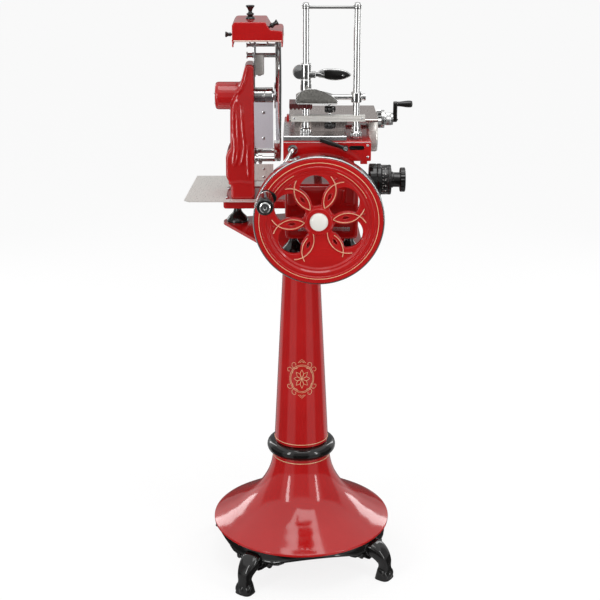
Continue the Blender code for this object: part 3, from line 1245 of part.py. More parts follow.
def build_carriage():
    low = CARRIAGE_BOTTOM
    carriage = box("carriage", (CARRIAGE_LEFT, CARRIAGE_FRONT, low), (CARRIAGE_RIGHT, CARRIAGE_BACK, CARRIAGE_TOP),
                   RED, CARRIAGE_WALL / 4)
    inside = box("carriage_inside",
                 (CARRIAGE_LEFT + CARRIAGE_WALL, CARRIAGE_FRONT + CARRIAGE_WALL, low - OVERRUN),
                 (CARRIAGE_RIGHT - CARRIAGE_WALL, CARRIAGE_BACK + OVERRUN, CARRIAGE_TOP - CARRIAGE_WALL), cutter=True)
    cut(carriage, inside)
    ceiling = CARRIAGE_TOP - CARRIAGE_WALL / 2
    for side, x in (("left", GUIDE_LEFT_X), ("right", GUIDE_RIGHT_X)):
        for end, y in (("front", CARRIAGE_FRONT + CARRIAGE_WALL / 2), ("back", BEARING_BACK_Y)):
            join(carriage, box(f"bearing_{side}_{end}", (x - BEARING_HALF, y, GUIDE_Z - BEARING_HALF),
                               (x + BEARING_HALF, y + BEARING_LENGTH, ceiling), cutter=True))
    pin_y = CRANK_Y - CRANK_ARM_THROW - ROD_LENGTH
    pin_low = CRANK_ARM_Z + CRANK_ARM_THICKNESS + GAP + ROD_THICKNESS + OPEN_PIVOT_GAP
    post = box("screw_post", (FEED_SCREW_LEFT - SCREW_POST_WIDTH / 4, FEED_Y - FEED_NUT_HALF, ceiling),
               (FEED_SCREW_LEFT + SCREW_POST_WIDTH * 0.75, FEED_Y + FEED_NUT_HALF, FEED_Z + FEED_NUT_HALF), cutter=True)
    join(carriage, post,
         rod("carriage_pin", ROD_PIN_RADIUS * 1.4, pin_low, ceiling, "Z", (WHEEL_X, pin_y, 0), cutter=True),
         box("lug", (LUG_LEFT, CARRIAGE_FRONT, low - LUG_DROP), (LUG_RIGHT, CARRIAGE_FRONT + CARRIAGE_WALL * 2, low + CARRIAGE_WALL),
             cutter=True))
    for side, x in (("left", GUIDE_LEFT_X), ("right", GUIDE_RIGHT_X)):
        cut(carriage, drill(f"guide_bore_{side}", GUIDE_RADIUS + GAP, CARRIAGE_FRONT - OVERRUN,
                          CARRIAGE_BACK + OVERRUN, "Y", (x, 0, GUIDE_Z)))
    port = drill("port", PORT_RADIUS, CARRIAGE_FRONT - OVERRUN, CARRIAGE_FRONT + CARRIAGE_WALL * 2, "Y",
               (PORT_X, 0, PORT_Z), steps=MEDIUM_STEPS)
    slot_half = SLOT_HEIGHT / 2
    slot = plate("lever_slot", [rounded_rectangle(SLOT_LEFT, SLOT_Z - slot_half, SLOT_RIGHT, SLOT_Z + slot_half,
                                                  slot_half * 0.98)],
                 CARRIAGE_WALL * 3, "XZ", (0, CARRIAGE_FRONT + CARRIAGE_WALL / 2, 0), cutter=True)
    stem_hole = drill("stem_hole", LEVER_STEM_RADIUS + GAP, CARRIAGE_FRONT - OVERRUN,
                    CARRIAGE_FRONT + CARRIAGE_WALL + OVERRUN, "Y", (LEVER_PIVOT_X, 0, LEVER_PIVOT_Z))
    screw_seat = drill("screw_seat", FEED_SCREW_RADIUS + GAP, FEED_SCREW_LEFT - GAP, FEED_SCREW_LEFT + SCREW_POST_WIDTH,
                     "X", (0, FEED_Y, FEED_Z))
    cut(carriage, port, slot, stem_hole, screw_seat)

    plate_bottom = CARRIAGE_TOP + GAP
    box("carriage_top_plate", (CARRIAGE_LEFT, CARRIAGE_FRONT, plate_bottom),
        (TOP_PLATE_RIGHT, TOP_PLATE_BACK, plate_bottom + TOP_PLATE_THICKNESS), STEEL, CARRIAGE_WALL / 5)

    port_depth = CARRIAGE_WALL * 2
    start = Vector((PORT_X, CARRIAGE_FRONT + port_depth - GAP * 2, PORT_Z))
    bend = Vector((PORT_X, CARRIAGE_FRONT - DRIVE_ROD_FORWARD * 0.7, PORT_Z))
    low_bend = bend + Vector((-DRIVE_ROD_LEAN * 0.25, -DRIVE_ROD_FORWARD * 0.15, -DRIVE_ROD_DROP * 0.2))
    end = Vector((PORT_X - DRIVE_ROD_LEAN, CARRIAGE_FRONT - DRIVE_ROD_FORWARD, PORT_Z - DRIVE_ROD_DROP))
    link = tube("carriage_pull_rod", (start, bend, low_bend, end), [DRIVE_ROD_RADIUS] * 4, CHROME, fineness=3)
    join(link, rod("pull_rod_foot", PORT_RADIUS - GAP, CARRIAGE_FRONT + port_depth * 0.6,
                   CARRIAGE_FRONT + port_depth - GAP, "Y", (PORT_X, 0, PORT_Z), steps=MEDIUM_STEPS, cutter=True))

    pivot = (LEVER_PIVOT_X, 0, LEVER_PIVOT_Z)
    along = Vector((math.cos(LEVER_RISE), math.sin(LEVER_RISE)))
    tip = along * LEVER_LENGTH
    outline = hull_of_discs(((0, 0), tuple(tip)), LEVER_WIDTH / 2, 6)
    lever_back = CARRIAGE_FRONT - CARRIAGE_WALL * 0.6
    lever = plate("table_release_lever", [outline], LEVER_THICKNESS, "XZ",
                  (LEVER_PIVOT_X, lever_back - LEVER_THICKNESS / 2, LEVER_PIVOT_Z), KNOB_BLACK)
    join(lever, rod("lever_stem", LEVER_STEM_RADIUS, lever_back - LEVER_THICKNESS / 2,
                    CARRIAGE_FRONT + CARRIAGE_WALL, "Y", pivot, cutter=True))


def build_table():
    nut_bottom = CARRIAGE_TOP + GAP + TOP_PLATE_THICKNESS + GAP
    for side, x in (("left", LEFT_ROD_X), ("right", RIGHT_ROD_X)):
        low = nut_bottom if side == "left" else CARRIAGE_TOP + GAP * 10
        turned(f"press_rod_{side}", (
            (0, PRESS_ROD_TOP), (PRESS_ROD_RADIUS, PRESS_ROD_TOP), (PRESS_ROD_RADIUS, low + ROD_NUT_HEIGHT),
            (ROD_NUT_RADIUS * 0.75, low + ROD_NUT_HEIGHT), (ROD_NUT_RADIUS * 0.75, low + ROD_NUT_HEIGHT * 0.55),
            (ROD_NUT_RADIUS, low + ROD_NUT_HEIGHT * 0.45), (ROD_NUT_RADIUS, low), (0, low)),
            "Z", (x, ROD_Y, 0), CHROME, MEDIUM_STEPS)

    bar_bottom = PRESS_ROD_TOP + GAP
    bar = plate("press_crossbar", [hull_of_discs(((LEFT_ROD_X, ROD_Y), (RIGHT_ROD_X, ROD_Y)), CROSSBAR_WIDTH / 2, 8)],
                CROSSBAR_THICKNESS, "XY", (0, 0, bar_bottom + CROSSBAR_THICKNESS / 2), CHROME)
    for side, x in (("left", LEFT_ROD_X), ("right", RIGHT_ROD_X)):
        nut_low = bar_bottom + CROSSBAR_THICKNESS / 2
        nut_high = bar_bottom + CROSSBAR_THICKNESS + ACORN_HEIGHT
        join(bar, turned(f"acorn_{side}", (
            (0, nut_high), (ACORN_RADIUS * 0.5, nut_high - ACORN_HEIGHT * 0.15),
            (ACORN_RADIUS * 0.85, nut_high - ACORN_HEIGHT * 0.5), (ACORN_RADIUS, nut_low), (0, nut_low)),
            "Z", (x, ROD_Y, 0), steps=SMALL_STEPS, cutter=True))

    rail_front = ROD_Y - RAIL_DEPTH / 2
    rail_back = ROD_Y + RAIL_DEPTH / 2
    holes = [circle((x, ROD_Y), PRESS_ROD_RADIUS + GAP, 20) for x in (LEFT_ROD_X, RIGHT_ROD_X)]
    holes.append(circle((STAR_X, ROD_Y), STAR_STEM_RADIUS + GAP, 16))
    outline = [(RAIL_LEFT, rail_front), (RAIL_RIGHT, rail_front), (RAIL_RIGHT, rail_back), (RAIL_LEFT, rail_back)]
    plate("table_front_rail", [outline] + holes, RAIL_TOP - RAIL_BOTTOM, "XY", (0, 0, (RAIL_TOP + RAIL_BOTTOM) / 2),
          STEEL)

    table_bottom = TABLE_TOP - TABLE_THICKNESS
    table = box("meat_table", (TABLE_LEFT, TABLE_FRONT, table_bottom), (TABLE_RIGHT, TABLE_BACK, TABLE_TOP), STEEL,
                TABLE_THICKNESS / 5)
    for side, x in (("left", (LEFT_ROD_X + STAR_X) / 2), ("right", (RIGHT_ROD_X + STAR_X) / 2)):
        join(table, box(f"rail_tab_{side}", (x - RAIL_TAB / 2, rail_front, table_bottom),
                        (x + RAIL_TAB / 2, TABLE_FRONT + OVERRUN, RAIL_BOTTOM - GAP), cutter=True))
    runner = box("table_runner", (LEFT_ROD_X - ROD_NUT_RADIUS * 2, TABLE_FRONT + OVERRUN, nut_bottom),
                 (TOP_PLATE_RIGHT - OVERRUN, TOP_PLATE_BACK - OVERRUN * 2, TABLE_TOP - TABLE_THICKNESS / 2), cutter=True)
    nut_low = CARRIAGE_TOP + GAP * 4
    nut_x = (TABLE_LEFT + TABLE_RIGHT) / 2
    nut = box("feed_nut", (nut_x - FEED_NUT_WIDTH / 2, FEED_Y - FEED_NUT_HALF, nut_low),
              (nut_x + FEED_NUT_WIDTH / 2, FEED_Y + FEED_NUT_HALF, TABLE_TOP - TABLE_THICKNESS / 2), cutter=True)
    join(table, runner, nut)
    cut(table, drill("nut_thread", FEED_SCREW_RADIUS + GAP, TABLE_LEFT, TABLE_RIGHT, "X", (0, FEED_Y, FEED_Z),
                   steps=MEDIUM_STEPS))

    star_high = RAIL_TOP + STAR_STEM
    star_low = RAIL_BOTTOM - STAR_LOWER_STEM
    outline = star_outline()
    knob = plate("rail_clamp_screw", [outline], STAR_HEIGHT, "XY", (STAR_X, ROD_Y, star_high + STAR_HEIGHT / 2), KNOB_BLACK)
    soften(knob, STAR_HEIGHT / 6, 1)
    lower = plate("lower_star", [outline], STAR_HEIGHT, "XY", (STAR_X, ROD_Y, star_low - STAR_HEIGHT / 2), cutter=True)
    stem = rod("star_stem", STAR_STEM_RADIUS, star_low - STAR_HEIGHT / 2, star_high + STAR_HEIGHT / 2, "Z",
               (STAR_X, ROD_Y, 0), cutter=True)
    join(knob, lower, stem)


def star_outline():
    outline = []
    for index in range(STAR_LOBES * 4):
        angle = index * 2 * math.pi / (STAR_LOBES * 4)
        dip = (0.0, 0.10, 0.34, 0.10)[index % 4]
        outline.append((STAR_RADIUS * (1 - dip) * math.cos(angle), STAR_RADIUS * (1 - dip) * math.sin(angle)))
    return outline


def build_feed():
    axis = (0, FEED_Y, FEED_Z)
    left = CARRIAGE_RIGHT + GAP
    disc = rod("feed_end_disc", END_DISC_RADIUS, left, left + END_DISC_THICKNESS, "X", (0, END_DISC_Y, END_DISC_Z),
               CREAM, ROUND_STEPS)
    boss = rod("screw_boss", END_BOSS_RADIUS, left, left + END_DISC_THICKNESS, "X", axis, steps=MEDIUM_STEPS, cutter=True)
    join(disc, boss)
    cut(disc, drill("screw_bore", FEED_SCREW_RADIUS + GAP, left - OVERRUN, left + END_DISC_THICKNESS + OVERRUN, "X",
                  axis, steps=MEDIUM_STEPS))

    screw = turned("feed_screw", (
        (0, FEED_HUB_X + FEED_HUB_LENGTH), (FEED_HUB_RADIUS, FEED_HUB_X + FEED_HUB_LENGTH),
        (FEED_HUB_RADIUS, FEED_HUB_X), (FEED_FLANGE_RADIUS, FEED_HUB_X), (FEED_FLANGE_RADIUS, FEED_FLANGE_X),
        (RATCHET_RADIUS * 0.7, FEED_FLANGE_X), (RATCHET_RADIUS * 0.7, FEED_SHAFT_LEFT),
        (FEED_SCREW_RADIUS, FEED_SHAFT_LEFT), (FEED_SCREW_RADIUS, FEED_SCREW_LEFT), (0, FEED_SCREW_LEFT)),
        "X", axis, CHROME, MEDIUM_STEPS)
    join(screw, plate("ratchet_teeth", [toothed_outline(RATCHET_RADIUS, RATCHET_TOOTH, RATCHET_TEETH, 0.12)],
                      RATCHET_WIDTH * 0.9, "YZ", (FEED_SHAFT_LEFT + RATCHET_WIDTH / 2, FEED_Y, FEED_Z), cutter=True))

    tip = (FEED_Y, FEED_Z + FEED_ARM_LENGTH)
    outline = hull_of_discs(((FEED_Y, FEED_Z), tip), FEED_ARM_WIDTH / 2, 8)
    arm = plate("feed_crank", [outline], FEED_ARM_THICKNESS, "YZ", (FEED_ARM_X + FEED_ARM_THICKNESS / 2, 0, 0),
                KNOB_BLACK)
    join(arm, rod("feed_grip_pin", LEVER_STEM_RADIUS * 0.8, FEED_ARM_X + FEED_ARM_THICKNESS / 2,
                  FEED_GRIP_END - FEED_GRIP_RADIUS, "X", (0, tip[0], tip[1]), cutter=True))
    bore = LEVER_STEM_RADIUS * 0.8 + GAP
    inner_end = FEED_GRIP_END - FEED_GRIP_RADIUS + GAP
    turned("feed_grip", (
        (0, FEED_GRIP_END), (FEED_GRIP_RADIUS * 0.8, FEED_GRIP_END - GAP * 3),
        (FEED_GRIP_RADIUS, FEED_GRIP_END - FEED_GRIP_LENGTH * 0.15),
        (FEED_GRIP_RADIUS * 0.94, FEED_GRIP_END - FEED_GRIP_LENGTH * 0.45),
        (FEED_GRIP_RADIUS * 0.72, FEED_GRIP_X + FEED_GRIP_LENGTH * 0.1), (FEED_GRIP_RADIUS * 0.72, FEED_GRIP_X),
        (bore, FEED_GRIP_X), (bore, inner_end), (0, inner_end)), "X", (0, tip[0], tip[1]), KNOB_BLACK, MEDIUM_STEPS)


def build_press():
    rod_bore = PRESS_ROD_RADIUS + SLIDER_BORE_CLEARANCE
    sleeve_bottom = PRESS_ARM_Z - COLLAR_CLAMP_HEIGHT / 2
    slider = turned("press_slider", (
        (rod_bore, SLIDER_TOP), (SLIDER_RADIUS, SLIDER_TOP), (SLIDER_RADIUS, SLIDER_BOTTOM),
        (COLLAR_CLAMP_RADIUS * 0.88, SLIDER_BOTTOM - SLIDER_RADIUS / 4), (COLLAR_CLAMP_RADIUS * 0.88, sleeve_bottom),
        (rod_bore, sleeve_bottom)), "Z", (LEFT_ROD_X, ROD_Y, 0), CHROME, MEDIUM_STEPS, ring=True)
    knurl = rod("knurl", KNURL_RADIUS, -KNURL_THICKNESS / 2, KNURL_THICKNESS / 2, "Y", (KNURL_X + KNURL_RADIUS / 3, ROD_Y, KNURL_Z),
                steps=MEDIUM_STEPS, cutter=True)
    cheeks = []
    for side, sign in (("front", -1), ("back", 1)):
        near = ROD_Y + sign * (PRESS_LEVER_THICKNESS / 2 + GAP)
        far = near + sign * PRESS_CHEEK
        cheeks.append(box(f"lever_cheek_{side}",
                          (LEFT_ROD_X + SLIDER_RADIUS * 0.4, min(near, far), PRESS_LEVER_Z - PRESS_LEVER_END * 1.6),
                          (PRESS_LEVER_X + PRESS_LEVER_END, max(near, far), PRESS_LEVER_Z + PRESS_LEVER_END * 1.6),
                          cutter=True))
    reach = PRESS_LEVER_THICKNESS / 2 + GAP + PRESS_CHEEK * 0.9
    cheeks.append(rod("lever_pin", PRESS_LEVER_PIN, -reach, reach, "Y", (PRESS_LEVER_X, ROD_Y, PRESS_LEVER_Z),
                      cutter=True))
    arm = rod("press_arm", PRESS_ARM_RADIUS, LEFT_ROD_X, END_KNOB_X, "X", (0, ROD_Y, PRESS_ARM_Z), cutter=True)
    collar = rod("rod_collar", COLLAR_CLAMP_RADIUS, PRESS_ARM_Z - COLLAR_CLAMP_HEIGHT / 2,
                 PRESS_ARM_Z + COLLAR_CLAMP_HEIGHT / 2, "Z", (RIGHT_ROD_X, ROD_Y, 0), steps=MEDIUM_STEPS, cutter=True)
    join(slider, knurl, *cheeks, arm, collar)
    width = PRESS_PLATE_RIGHT - PRESS_PLATE_LEFT
    for side, x in (("left", LEFT_ROD_X), ("right", RIGHT_ROD_X)):
        cut(slider, drill(f"rod_bore_{side}", rod_bore, PRESS_ARM_Z - COLLAR_CLAMP_HEIGHT, SLIDER_TOP + OVERRUN, "Z",
                        (x, ROD_Y, 0), steps=MEDIUM_STEPS))

    shares = ((0.10, 0.30), (0.28, 0.50), (0.52, 0.50), (0.78, 0.40), (0.95, 0.20), (1.0, 0.0),
              (0.95, -0.22), (0.78, -0.44), (0.55, -0.50), (0.35, -0.42), (0.20, -0.22))
    outline = arc((0, 0), PRESS_LEVER_END, math.pi * 0.5, math.pi * 1.5, 6)
    outline += [(u * PRESS_LEVER_LENGTH, v * PRESS_LEVER_HEIGHT) for u, v in reversed(shares)]
    lever = plate("press_lever", [outline, circle((0, 0), PRESS_LEVER_PIN + GAP, 12)], PRESS_LEVER_THICKNESS, "XZ",
                  (PRESS_LEVER_X, ROD_Y, PRESS_LEVER_Z), KNOB_BLACK)
    soften(lever, PRESS_LEVER_END / 5, 1)

    rise = ((0.0, 0.0), (1.0, 0.0), (1.0, 0.22), (0.86, 0.52), (0.68, 0.82), (0.46, 1.0), (0.28, 1.0), (0.12, 0.82),
            (0.0, 0.40))
    outline = [(PRESS_PLATE_LEFT + u * width, PRESS_PLATE_BOTTOM + v * PRESS_PLATE_RISE) for u, v in rise]
    fin = plate("press_plate", [outline], PRESS_PLATE_DEPTH, "XZ", (0, PRESS_PLATE_FRONT + PRESS_PLATE_DEPTH / 2, 0),
                GREY)
    for vertex in fin.data.vertices:
        if vertex.co.z < 0:
            vertex.co.y = PRESS_PLATE_BOTTOM + (vertex.co.y - PRESS_PLATE_BOTTOM) * PRESS_PLATE_BACK_SHARE
    cut(fin, drill("sleeve_hole", SLIDER_RADIUS + GAP, sleeve_bottom - OVERRUN, PRESS_PLATE_BOTTOM + PRESS_PLATE_RISE * 2,
                   "Z", (LEFT_ROD_X, ROD_Y, 0), steps=MEDIUM_STEPS),
        drill("bar_hole", PRESS_ARM_RADIUS + GAP, LEFT_ROD_X, PRESS_PLATE_RIGHT + OVERRUN, "X", (0, ROD_Y, PRESS_ARM_Z)))

    teeth = []
    gripper_top = PRESS_PLATE_BOTTOM - GAP
    gripper_bottom = gripper_top - GRIPPER_HEIGHT
    step = (GRIPPER_RIGHT - GRIPPER_LEFT) / GRIPPER_TEETH
    for index in range(GRIPPER_TEETH):
        left = GRIPPER_LEFT + index * step
        teeth += [(left, gripper_bottom + step * 0.5), (left + step * 0.5, gripper_bottom)]
    outline = teeth + [(GRIPPER_RIGHT, gripper_bottom + step * 0.5), (GRIPPER_RIGHT, gripper_top),
                       (GRIPPER_LEFT, gripper_top)]
    gripper = plate("meat_gripper", [outline], GRIPPER_DEPTH, "XZ", (0, PRESS_PLATE_FRONT + GRIPPER_DEPTH / 2, 0),
                    MAROON)
    cut(gripper, drill("gripper_hole", COLLAR_CLAMP_RADIUS + GAP, gripper_bottom - OVERRUN, gripper_top + OVERRUN, "Z",
                       (LEFT_ROD_X, ROD_Y, 0), steps=MEDIUM_STEPS))
    gripper.modifiers[-1].use_self = True


def build_thickness_control():
    axis = (0, DIAL_Y, DIAL_Z)
    wall_x = BASE_RIGHT + GAP
    inner = DIAL_CUP_RADIUS - DIAL_CUP_WALL
    cup_floor = DIAL_CUP_RIGHT - DIAL_CUP_WALL
    spindle_hole = DIAL_SPINDLE + GAP
    bore_end = DIAL_CUP_RIGHT - DIAL_SPINDLE_DEPTH - GAP
    turned("thickness_bracket", (
        (0, bore_end), (spindle_hole, bore_end), (spindle_hole, DIAL_CUP_RIGHT), (DIAL_CUP_RADIUS, DIAL_CUP_RIGHT),
        (DIAL_CUP_RADIUS, DIAL_CUP_LEFT), (inner, DIAL_CUP_LEFT), (inner, cup_floor), (DIAL_NECK_RADIUS, cup_floor),
        (DIAL_NECK_RADIUS, wall_x), (0, wall_x)), "X", axis, BLACK)
    dial_left = DIAL_CUP_RIGHT + GAP
    dial_right = dial_left + DIAL_WIDTH
    stem_right = dial_right + DIAL_STEM
    turned("thickness_knob", (
        (0, stem_right + DIAL_KNOB), (DIAL_KNOB_RADIUS, stem_right + DIAL_KNOB), (DIAL_KNOB_RADIUS, stem_right),
        (DIAL_STEM_RADIUS, stem_right), (DIAL_STEM_RADIUS, dial_right), (DIAL_RADIUS, dial_right),
        (DIAL_RADIUS, dial_left), (DIAL_SPINDLE, dial_left), (DIAL_SPINDLE, DIAL_CUP_RIGHT - DIAL_SPINDLE_DEPTH),
        (0, DIAL_CUP_RIGHT - DIAL_SPINDLE_DEPTH)), "X", axis, KNOB_BLACK)


build_pedestal()
build_leg_casting()
build_rests()
build_machine_base()
build_arm()
build_blade()
build_tray()
build_sharpener()
build_flywheel()
build_gears()
build_carriage()
build_table()
build_feed()
build_press()
build_thickness_control()
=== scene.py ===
"""Looks for a hand crank meat slicer on its cast pedestal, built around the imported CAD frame."""
from math import atan2, cos, exp, pi, radians, sin, sqrt, tan

import bmesh
import bpy
from mathutils import Matrix, Vector


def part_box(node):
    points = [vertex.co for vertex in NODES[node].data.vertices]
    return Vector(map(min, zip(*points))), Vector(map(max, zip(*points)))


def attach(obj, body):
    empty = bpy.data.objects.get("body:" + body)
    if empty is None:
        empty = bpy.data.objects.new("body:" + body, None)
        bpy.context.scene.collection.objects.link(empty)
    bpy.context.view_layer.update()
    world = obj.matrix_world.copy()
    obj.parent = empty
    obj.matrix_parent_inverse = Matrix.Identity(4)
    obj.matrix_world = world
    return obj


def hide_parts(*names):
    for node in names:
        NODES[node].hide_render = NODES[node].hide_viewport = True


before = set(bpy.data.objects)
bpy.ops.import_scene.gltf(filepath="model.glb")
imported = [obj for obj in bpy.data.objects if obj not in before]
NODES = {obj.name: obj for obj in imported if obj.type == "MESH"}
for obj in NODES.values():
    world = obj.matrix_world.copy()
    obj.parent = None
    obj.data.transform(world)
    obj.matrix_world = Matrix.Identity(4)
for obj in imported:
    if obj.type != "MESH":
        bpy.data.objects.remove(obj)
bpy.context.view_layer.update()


# The CAD frame is centred on the floor, so pieces are written in the machine's own places and moved by this.
TRAY_CORNER_AT = Vector((-0.31, 0.074, 0.9879))
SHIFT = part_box("slice_tray")[0] - TRAY_CORNER_AT
TAU = 2 * pi


# ---------------------------------------------------------------- materials
def new_material(name):
    material = bpy.data.materials.new(name)
    material.use_nodes = True
    tree = material.node_tree
    shader = tree.nodes["Principled BSDF"]
    place = tree.nodes.new("ShaderNodeTexCoord")
    return material, tree, shader, place.outputs["Object"]


def noise(tree, place, scale, detail=3.0, stretch=None):
    if stretch:
        mapping = tree.nodes.new("ShaderNodeMapping")
        mapping.inputs["Scale"].default_value = stretch
        tree.links.new(place, mapping.inputs["Vector"])
        place = mapping.outputs["Vector"]
    node = tree.nodes.new("ShaderNodeTexNoise")
    node.inputs["Scale"].default_value = scale
    node.inputs["Detail"].default_value = detail
    tree.links.new(place, node.inputs["Vector"])
    return node.outputs["Fac"]


def spread(tree, value, low, high, start=0.3, end=0.7):
    node = tree.nodes.new("ShaderNodeMapRange")
    for key, number in (("From Min", start), ("From Max", end), ("To Min", low), ("To Max", high)):
        node.inputs[key].default_value = number
    tree.links.new(value, node.inputs["Value"])
    return node.outputs["Result"]


def blend(tree, value, first, second):
    node = tree.nodes.new("ShaderNodeMix")
    node.data_type = "RGBA"
    node.inputs["A"].default_value = (*first, 1)
    node.inputs["B"].default_value = (*second, 1)
    tree.links.new(value, node.inputs["Factor"])
    return [out for out in node.outputs if out.type == "RGBA"][0]


def bump(tree, shader, value, distance, strength):
    node = tree.nodes.new("ShaderNodeBump")
    node.inputs["Distance"].default_value = distance
    node.inputs["Strength"].default_value = strength
    tree.links.new(value, node.inputs["Height"])
    tree.links.new(node.outputs["Normal"], shader.inputs["Normal"])


def enamel(name, deep, light, rough, coat=0.35, peel=0.05, peel_scale=260):
    material, tree, shader, place = new_material(name)
    tree.links.new(blend(tree, spread(tree, noise(tree, place, 7), 0, 1), deep, light),
            shader.inputs["Base Color"])
    tree.links.new(spread(tree, noise(tree, place, 38, 5), rough * 0.75, rough * 1.3),
            shader.inputs["Roughness"])
    bump(tree, shader, noise(tree, place, peel_scale, 2), 0.0004, peel)
    shader.inputs["Coat Weight"].default_value = coat
    shader.inputs["Coat Roughness"].default_value = 0.04
    return material


def metal(name, dark, light, rough, grain=(1, 1, 1), grain_scale=90, relief=0.04, metallic=1.0):
    material, tree, shader, place = new_material(name)
    streaks = noise(tree, place, grain_scale, 4, grain)
    tree.links.new(blend(tree, spread(tree, streaks, 0, 1), dark, light), shader.inputs["Base Color"])
    tree.links.new(spread(tree, streaks, rough * 0.7, rough * 1.35), shader.inputs["Roughness"])
    bump(tree, shader, streaks, 0.0003, relief)
    shader.inputs["Metallic"].default_value = metallic
    return material


def rough_solid(name, dark, light, rough, scale, relief):
    material, tree, shader, place = new_material(name)
    grains = noise(tree, place, scale, 6)
    tree.links.new(blend(tree, spread(tree, grains, 0, 1), dark, light), shader.inputs["Base Color"])
    tree.links.new(spread(tree, noise(tree, place, scale / 6), rough * 0.85, rough * 1.1),
            shader.inputs["Roughness"])
    bump(tree, shader, grains, 0.0006, relief)
    return material


RED = enamel("red_enamel", (0.4, 0.006, 0.0065), (0.465, 0.009, 0.009), 0.11, 0.22)
BLACK = enamel("black_enamel", (0.003, 0.0028, 0.0027), (0.006, 0.0055, 0.0052), 0.09, 0.12)
KNOB = enamel("black_bakelite", (0.004, 0.0036, 0.0034), (0.009, 0.008, 0.0075), 0.14, 0.1, 0.03, 420)
GOLD = metal("gold_line", (0.74, 0.45, 0.24), (0.86, 0.58, 0.35), 0.34, relief=0.02, metallic=0.1)
WHITE_LINE = enamel("ivory_line", (0.8, 0.72, 0.62), (0.9, 0.84, 0.74), 0.22, 0.1)
CHROME = metal("polished_chrome", (0.57, 0.57, 0.57), (0.66, 0.66, 0.65), 0.085, relief=0.008)
STEEL = metal("brushed_steel", (0.6, 0.6, 0.61), (0.7, 0.7, 0.7), 0.27, (1.5, 1.5, 20), 170, 0.03)
LILAC = metal("anodised_cover", (0.6, 0.58, 0.63), (0.7, 0.68, 0.73), 0.36, (1.5, 1.5, 20), 170, 0.02, 0.3)
LATHED = metal("turned_steel", (0.6, 0.6, 0.59), (0.74, 0.74, 0.73), 0.2, (1, 26, 1), 70, 0.05)
GREY = metal("grey_aluminium", (0.3, 0.29, 0.27), (0.42, 0.41, 0.38), 0.36, grain_scale=240, relief=0.12)
CREAM = metal("satin_aluminium", (0.76, 0.74, 0.7), (0.84, 0.82, 0.78), 0.34, (30, 1.2, 1.2), 55, 0.03, 0.45)
PEARL = enamel("pearl_cap", (0.7, 0.68, 0.63), (0.84, 0.82, 0.77), 0.14, 0.5)
MAROON = enamel("maroon_paint", (0.055, 0.006, 0.007), (0.1, 0.012, 0.013), 0.3, 0.1, 0.12, 320)
STONE = rough_solid("grinding_stone", (0.3, 0.29, 0.27), (0.5, 0.48, 0.44), 0.92, 900, 0.6)
RUBBER = rough_solid("black_rubber", (0.01, 0.01, 0.01), (0.022, 0.021, 0.02), 0.42, 700, 0.12)
FOOT = enamel("foot_rubber", (0.0045, 0.0043, 0.0041), (0.01, 0.0095, 0.009), 0.18, 0.1, 0.04, 500)
BAND = metal("steel_band", (0.66, 0.66, 0.66), (0.8, 0.8, 0.8), 0.13, (1, 1, 1), 60, 0.02)
PALE = metal("pale_casting", (0.6, 0.59, 0.56), (0.74, 0.73, 0.7), 0.4, grain_scale=260, relief=0.1,
        metallic=0.35)
TABLE = metal("table_steel", (0.6, 0.5, 0.47), (0.76, 0.68, 0.64), 0.22, (30, 1.2, 1.2), 55, 0.04)
DIGIT = enamel("dial_white", (0.66, 0.65, 0.62), (0.78, 0.77, 0.74), 0.4, 0.0)
BY_SLOT = {"red_enamel": RED, "black_enamel": BLACK, "black_bakelite": KNOB, "chrome": CHROME,
        "brushed_steel": STEEL, "grey_aluminium": GREY, "tray_aluminium": CREAM, "pearl_cap": PEARL,
        "maroon_teeth": MAROON, "grinding_stone": STONE, "black_rubber": RUBBER}
SLOT_OF = {material.name: slot for slot, material in BY_SLOT.items()}
SLOT_OF.update({"gold_line": "red_enamel", "ivory_line": "red_enamel", "turned_steel": "brushed_steel",
        "foot_rubber": "black_rubber", "steel_band": "chrome", "pale_casting": "tray_aluminium",
        "table_steel": "brushed_steel", "anodised_cover": "brushed_steel", "dial_white": "black_bakelite"})


def dress_cad():
    """Each CAD node gets the worked-out material of its own slot."""
    for node in NODES.values():
        for material_slot in node.material_slots:
            name = material_slot.material.name.split(".")[0]
            found = [slot for slot in BY_SLOT if name.startswith(slot)]
            material_slot.material = BY_SLOT[found[0]] if found else STEEL


# ---------------------------------------------------------------- meshes
def finish_mesh(shape, angle):
    bmesh.ops.recalc_face_normals(shape, faces=shape.faces)
    mesh = bpy.data.meshes.new("shape")
    shape.to_mesh(mesh)
    shape.free()
    mesh.shade_smooth()
    mesh.set_sharp_from_angle(angle=radians(angle))
    return mesh


def skin(shape, rings, around=False):
    """Faces between neighbouring rings of vertices, and from the last ring to the first if they run around."""
    for below, above in zip(rings, rings[1:] + (rings[:1] if around else [])):
        for k in range(len(below)):
            after = (k + 1) % len(below)
            corners = list(dict.fromkeys((below[k], below[after], above[after], above[k])))
            if len(corners) > 2:
                shape.faces.new(corners)


def piece(name, mesh, material, body, nodes=(), weighted=False):
    mesh.name = name
    item = bpy.data.objects.new(name, mesh)
    bpy.context.scene.collection.objects.link(item)
    item.location = SHIFT
    mesh.materials.clear()
    mesh.materials.append(material)
    if weighted:
        item.modifiers.new("normals", "WEIGHTED_NORMAL").keep_sharp = True
    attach(item, body)
    if nodes:
        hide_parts(*nodes)


def on_axis(axis, radius, along, turn):
    across, up = radius * cos(turn), radius * sin(turn)
    return {"X": (along, across, up), "Y": (across, along, up), "Z": (across, up, along)}[axis]


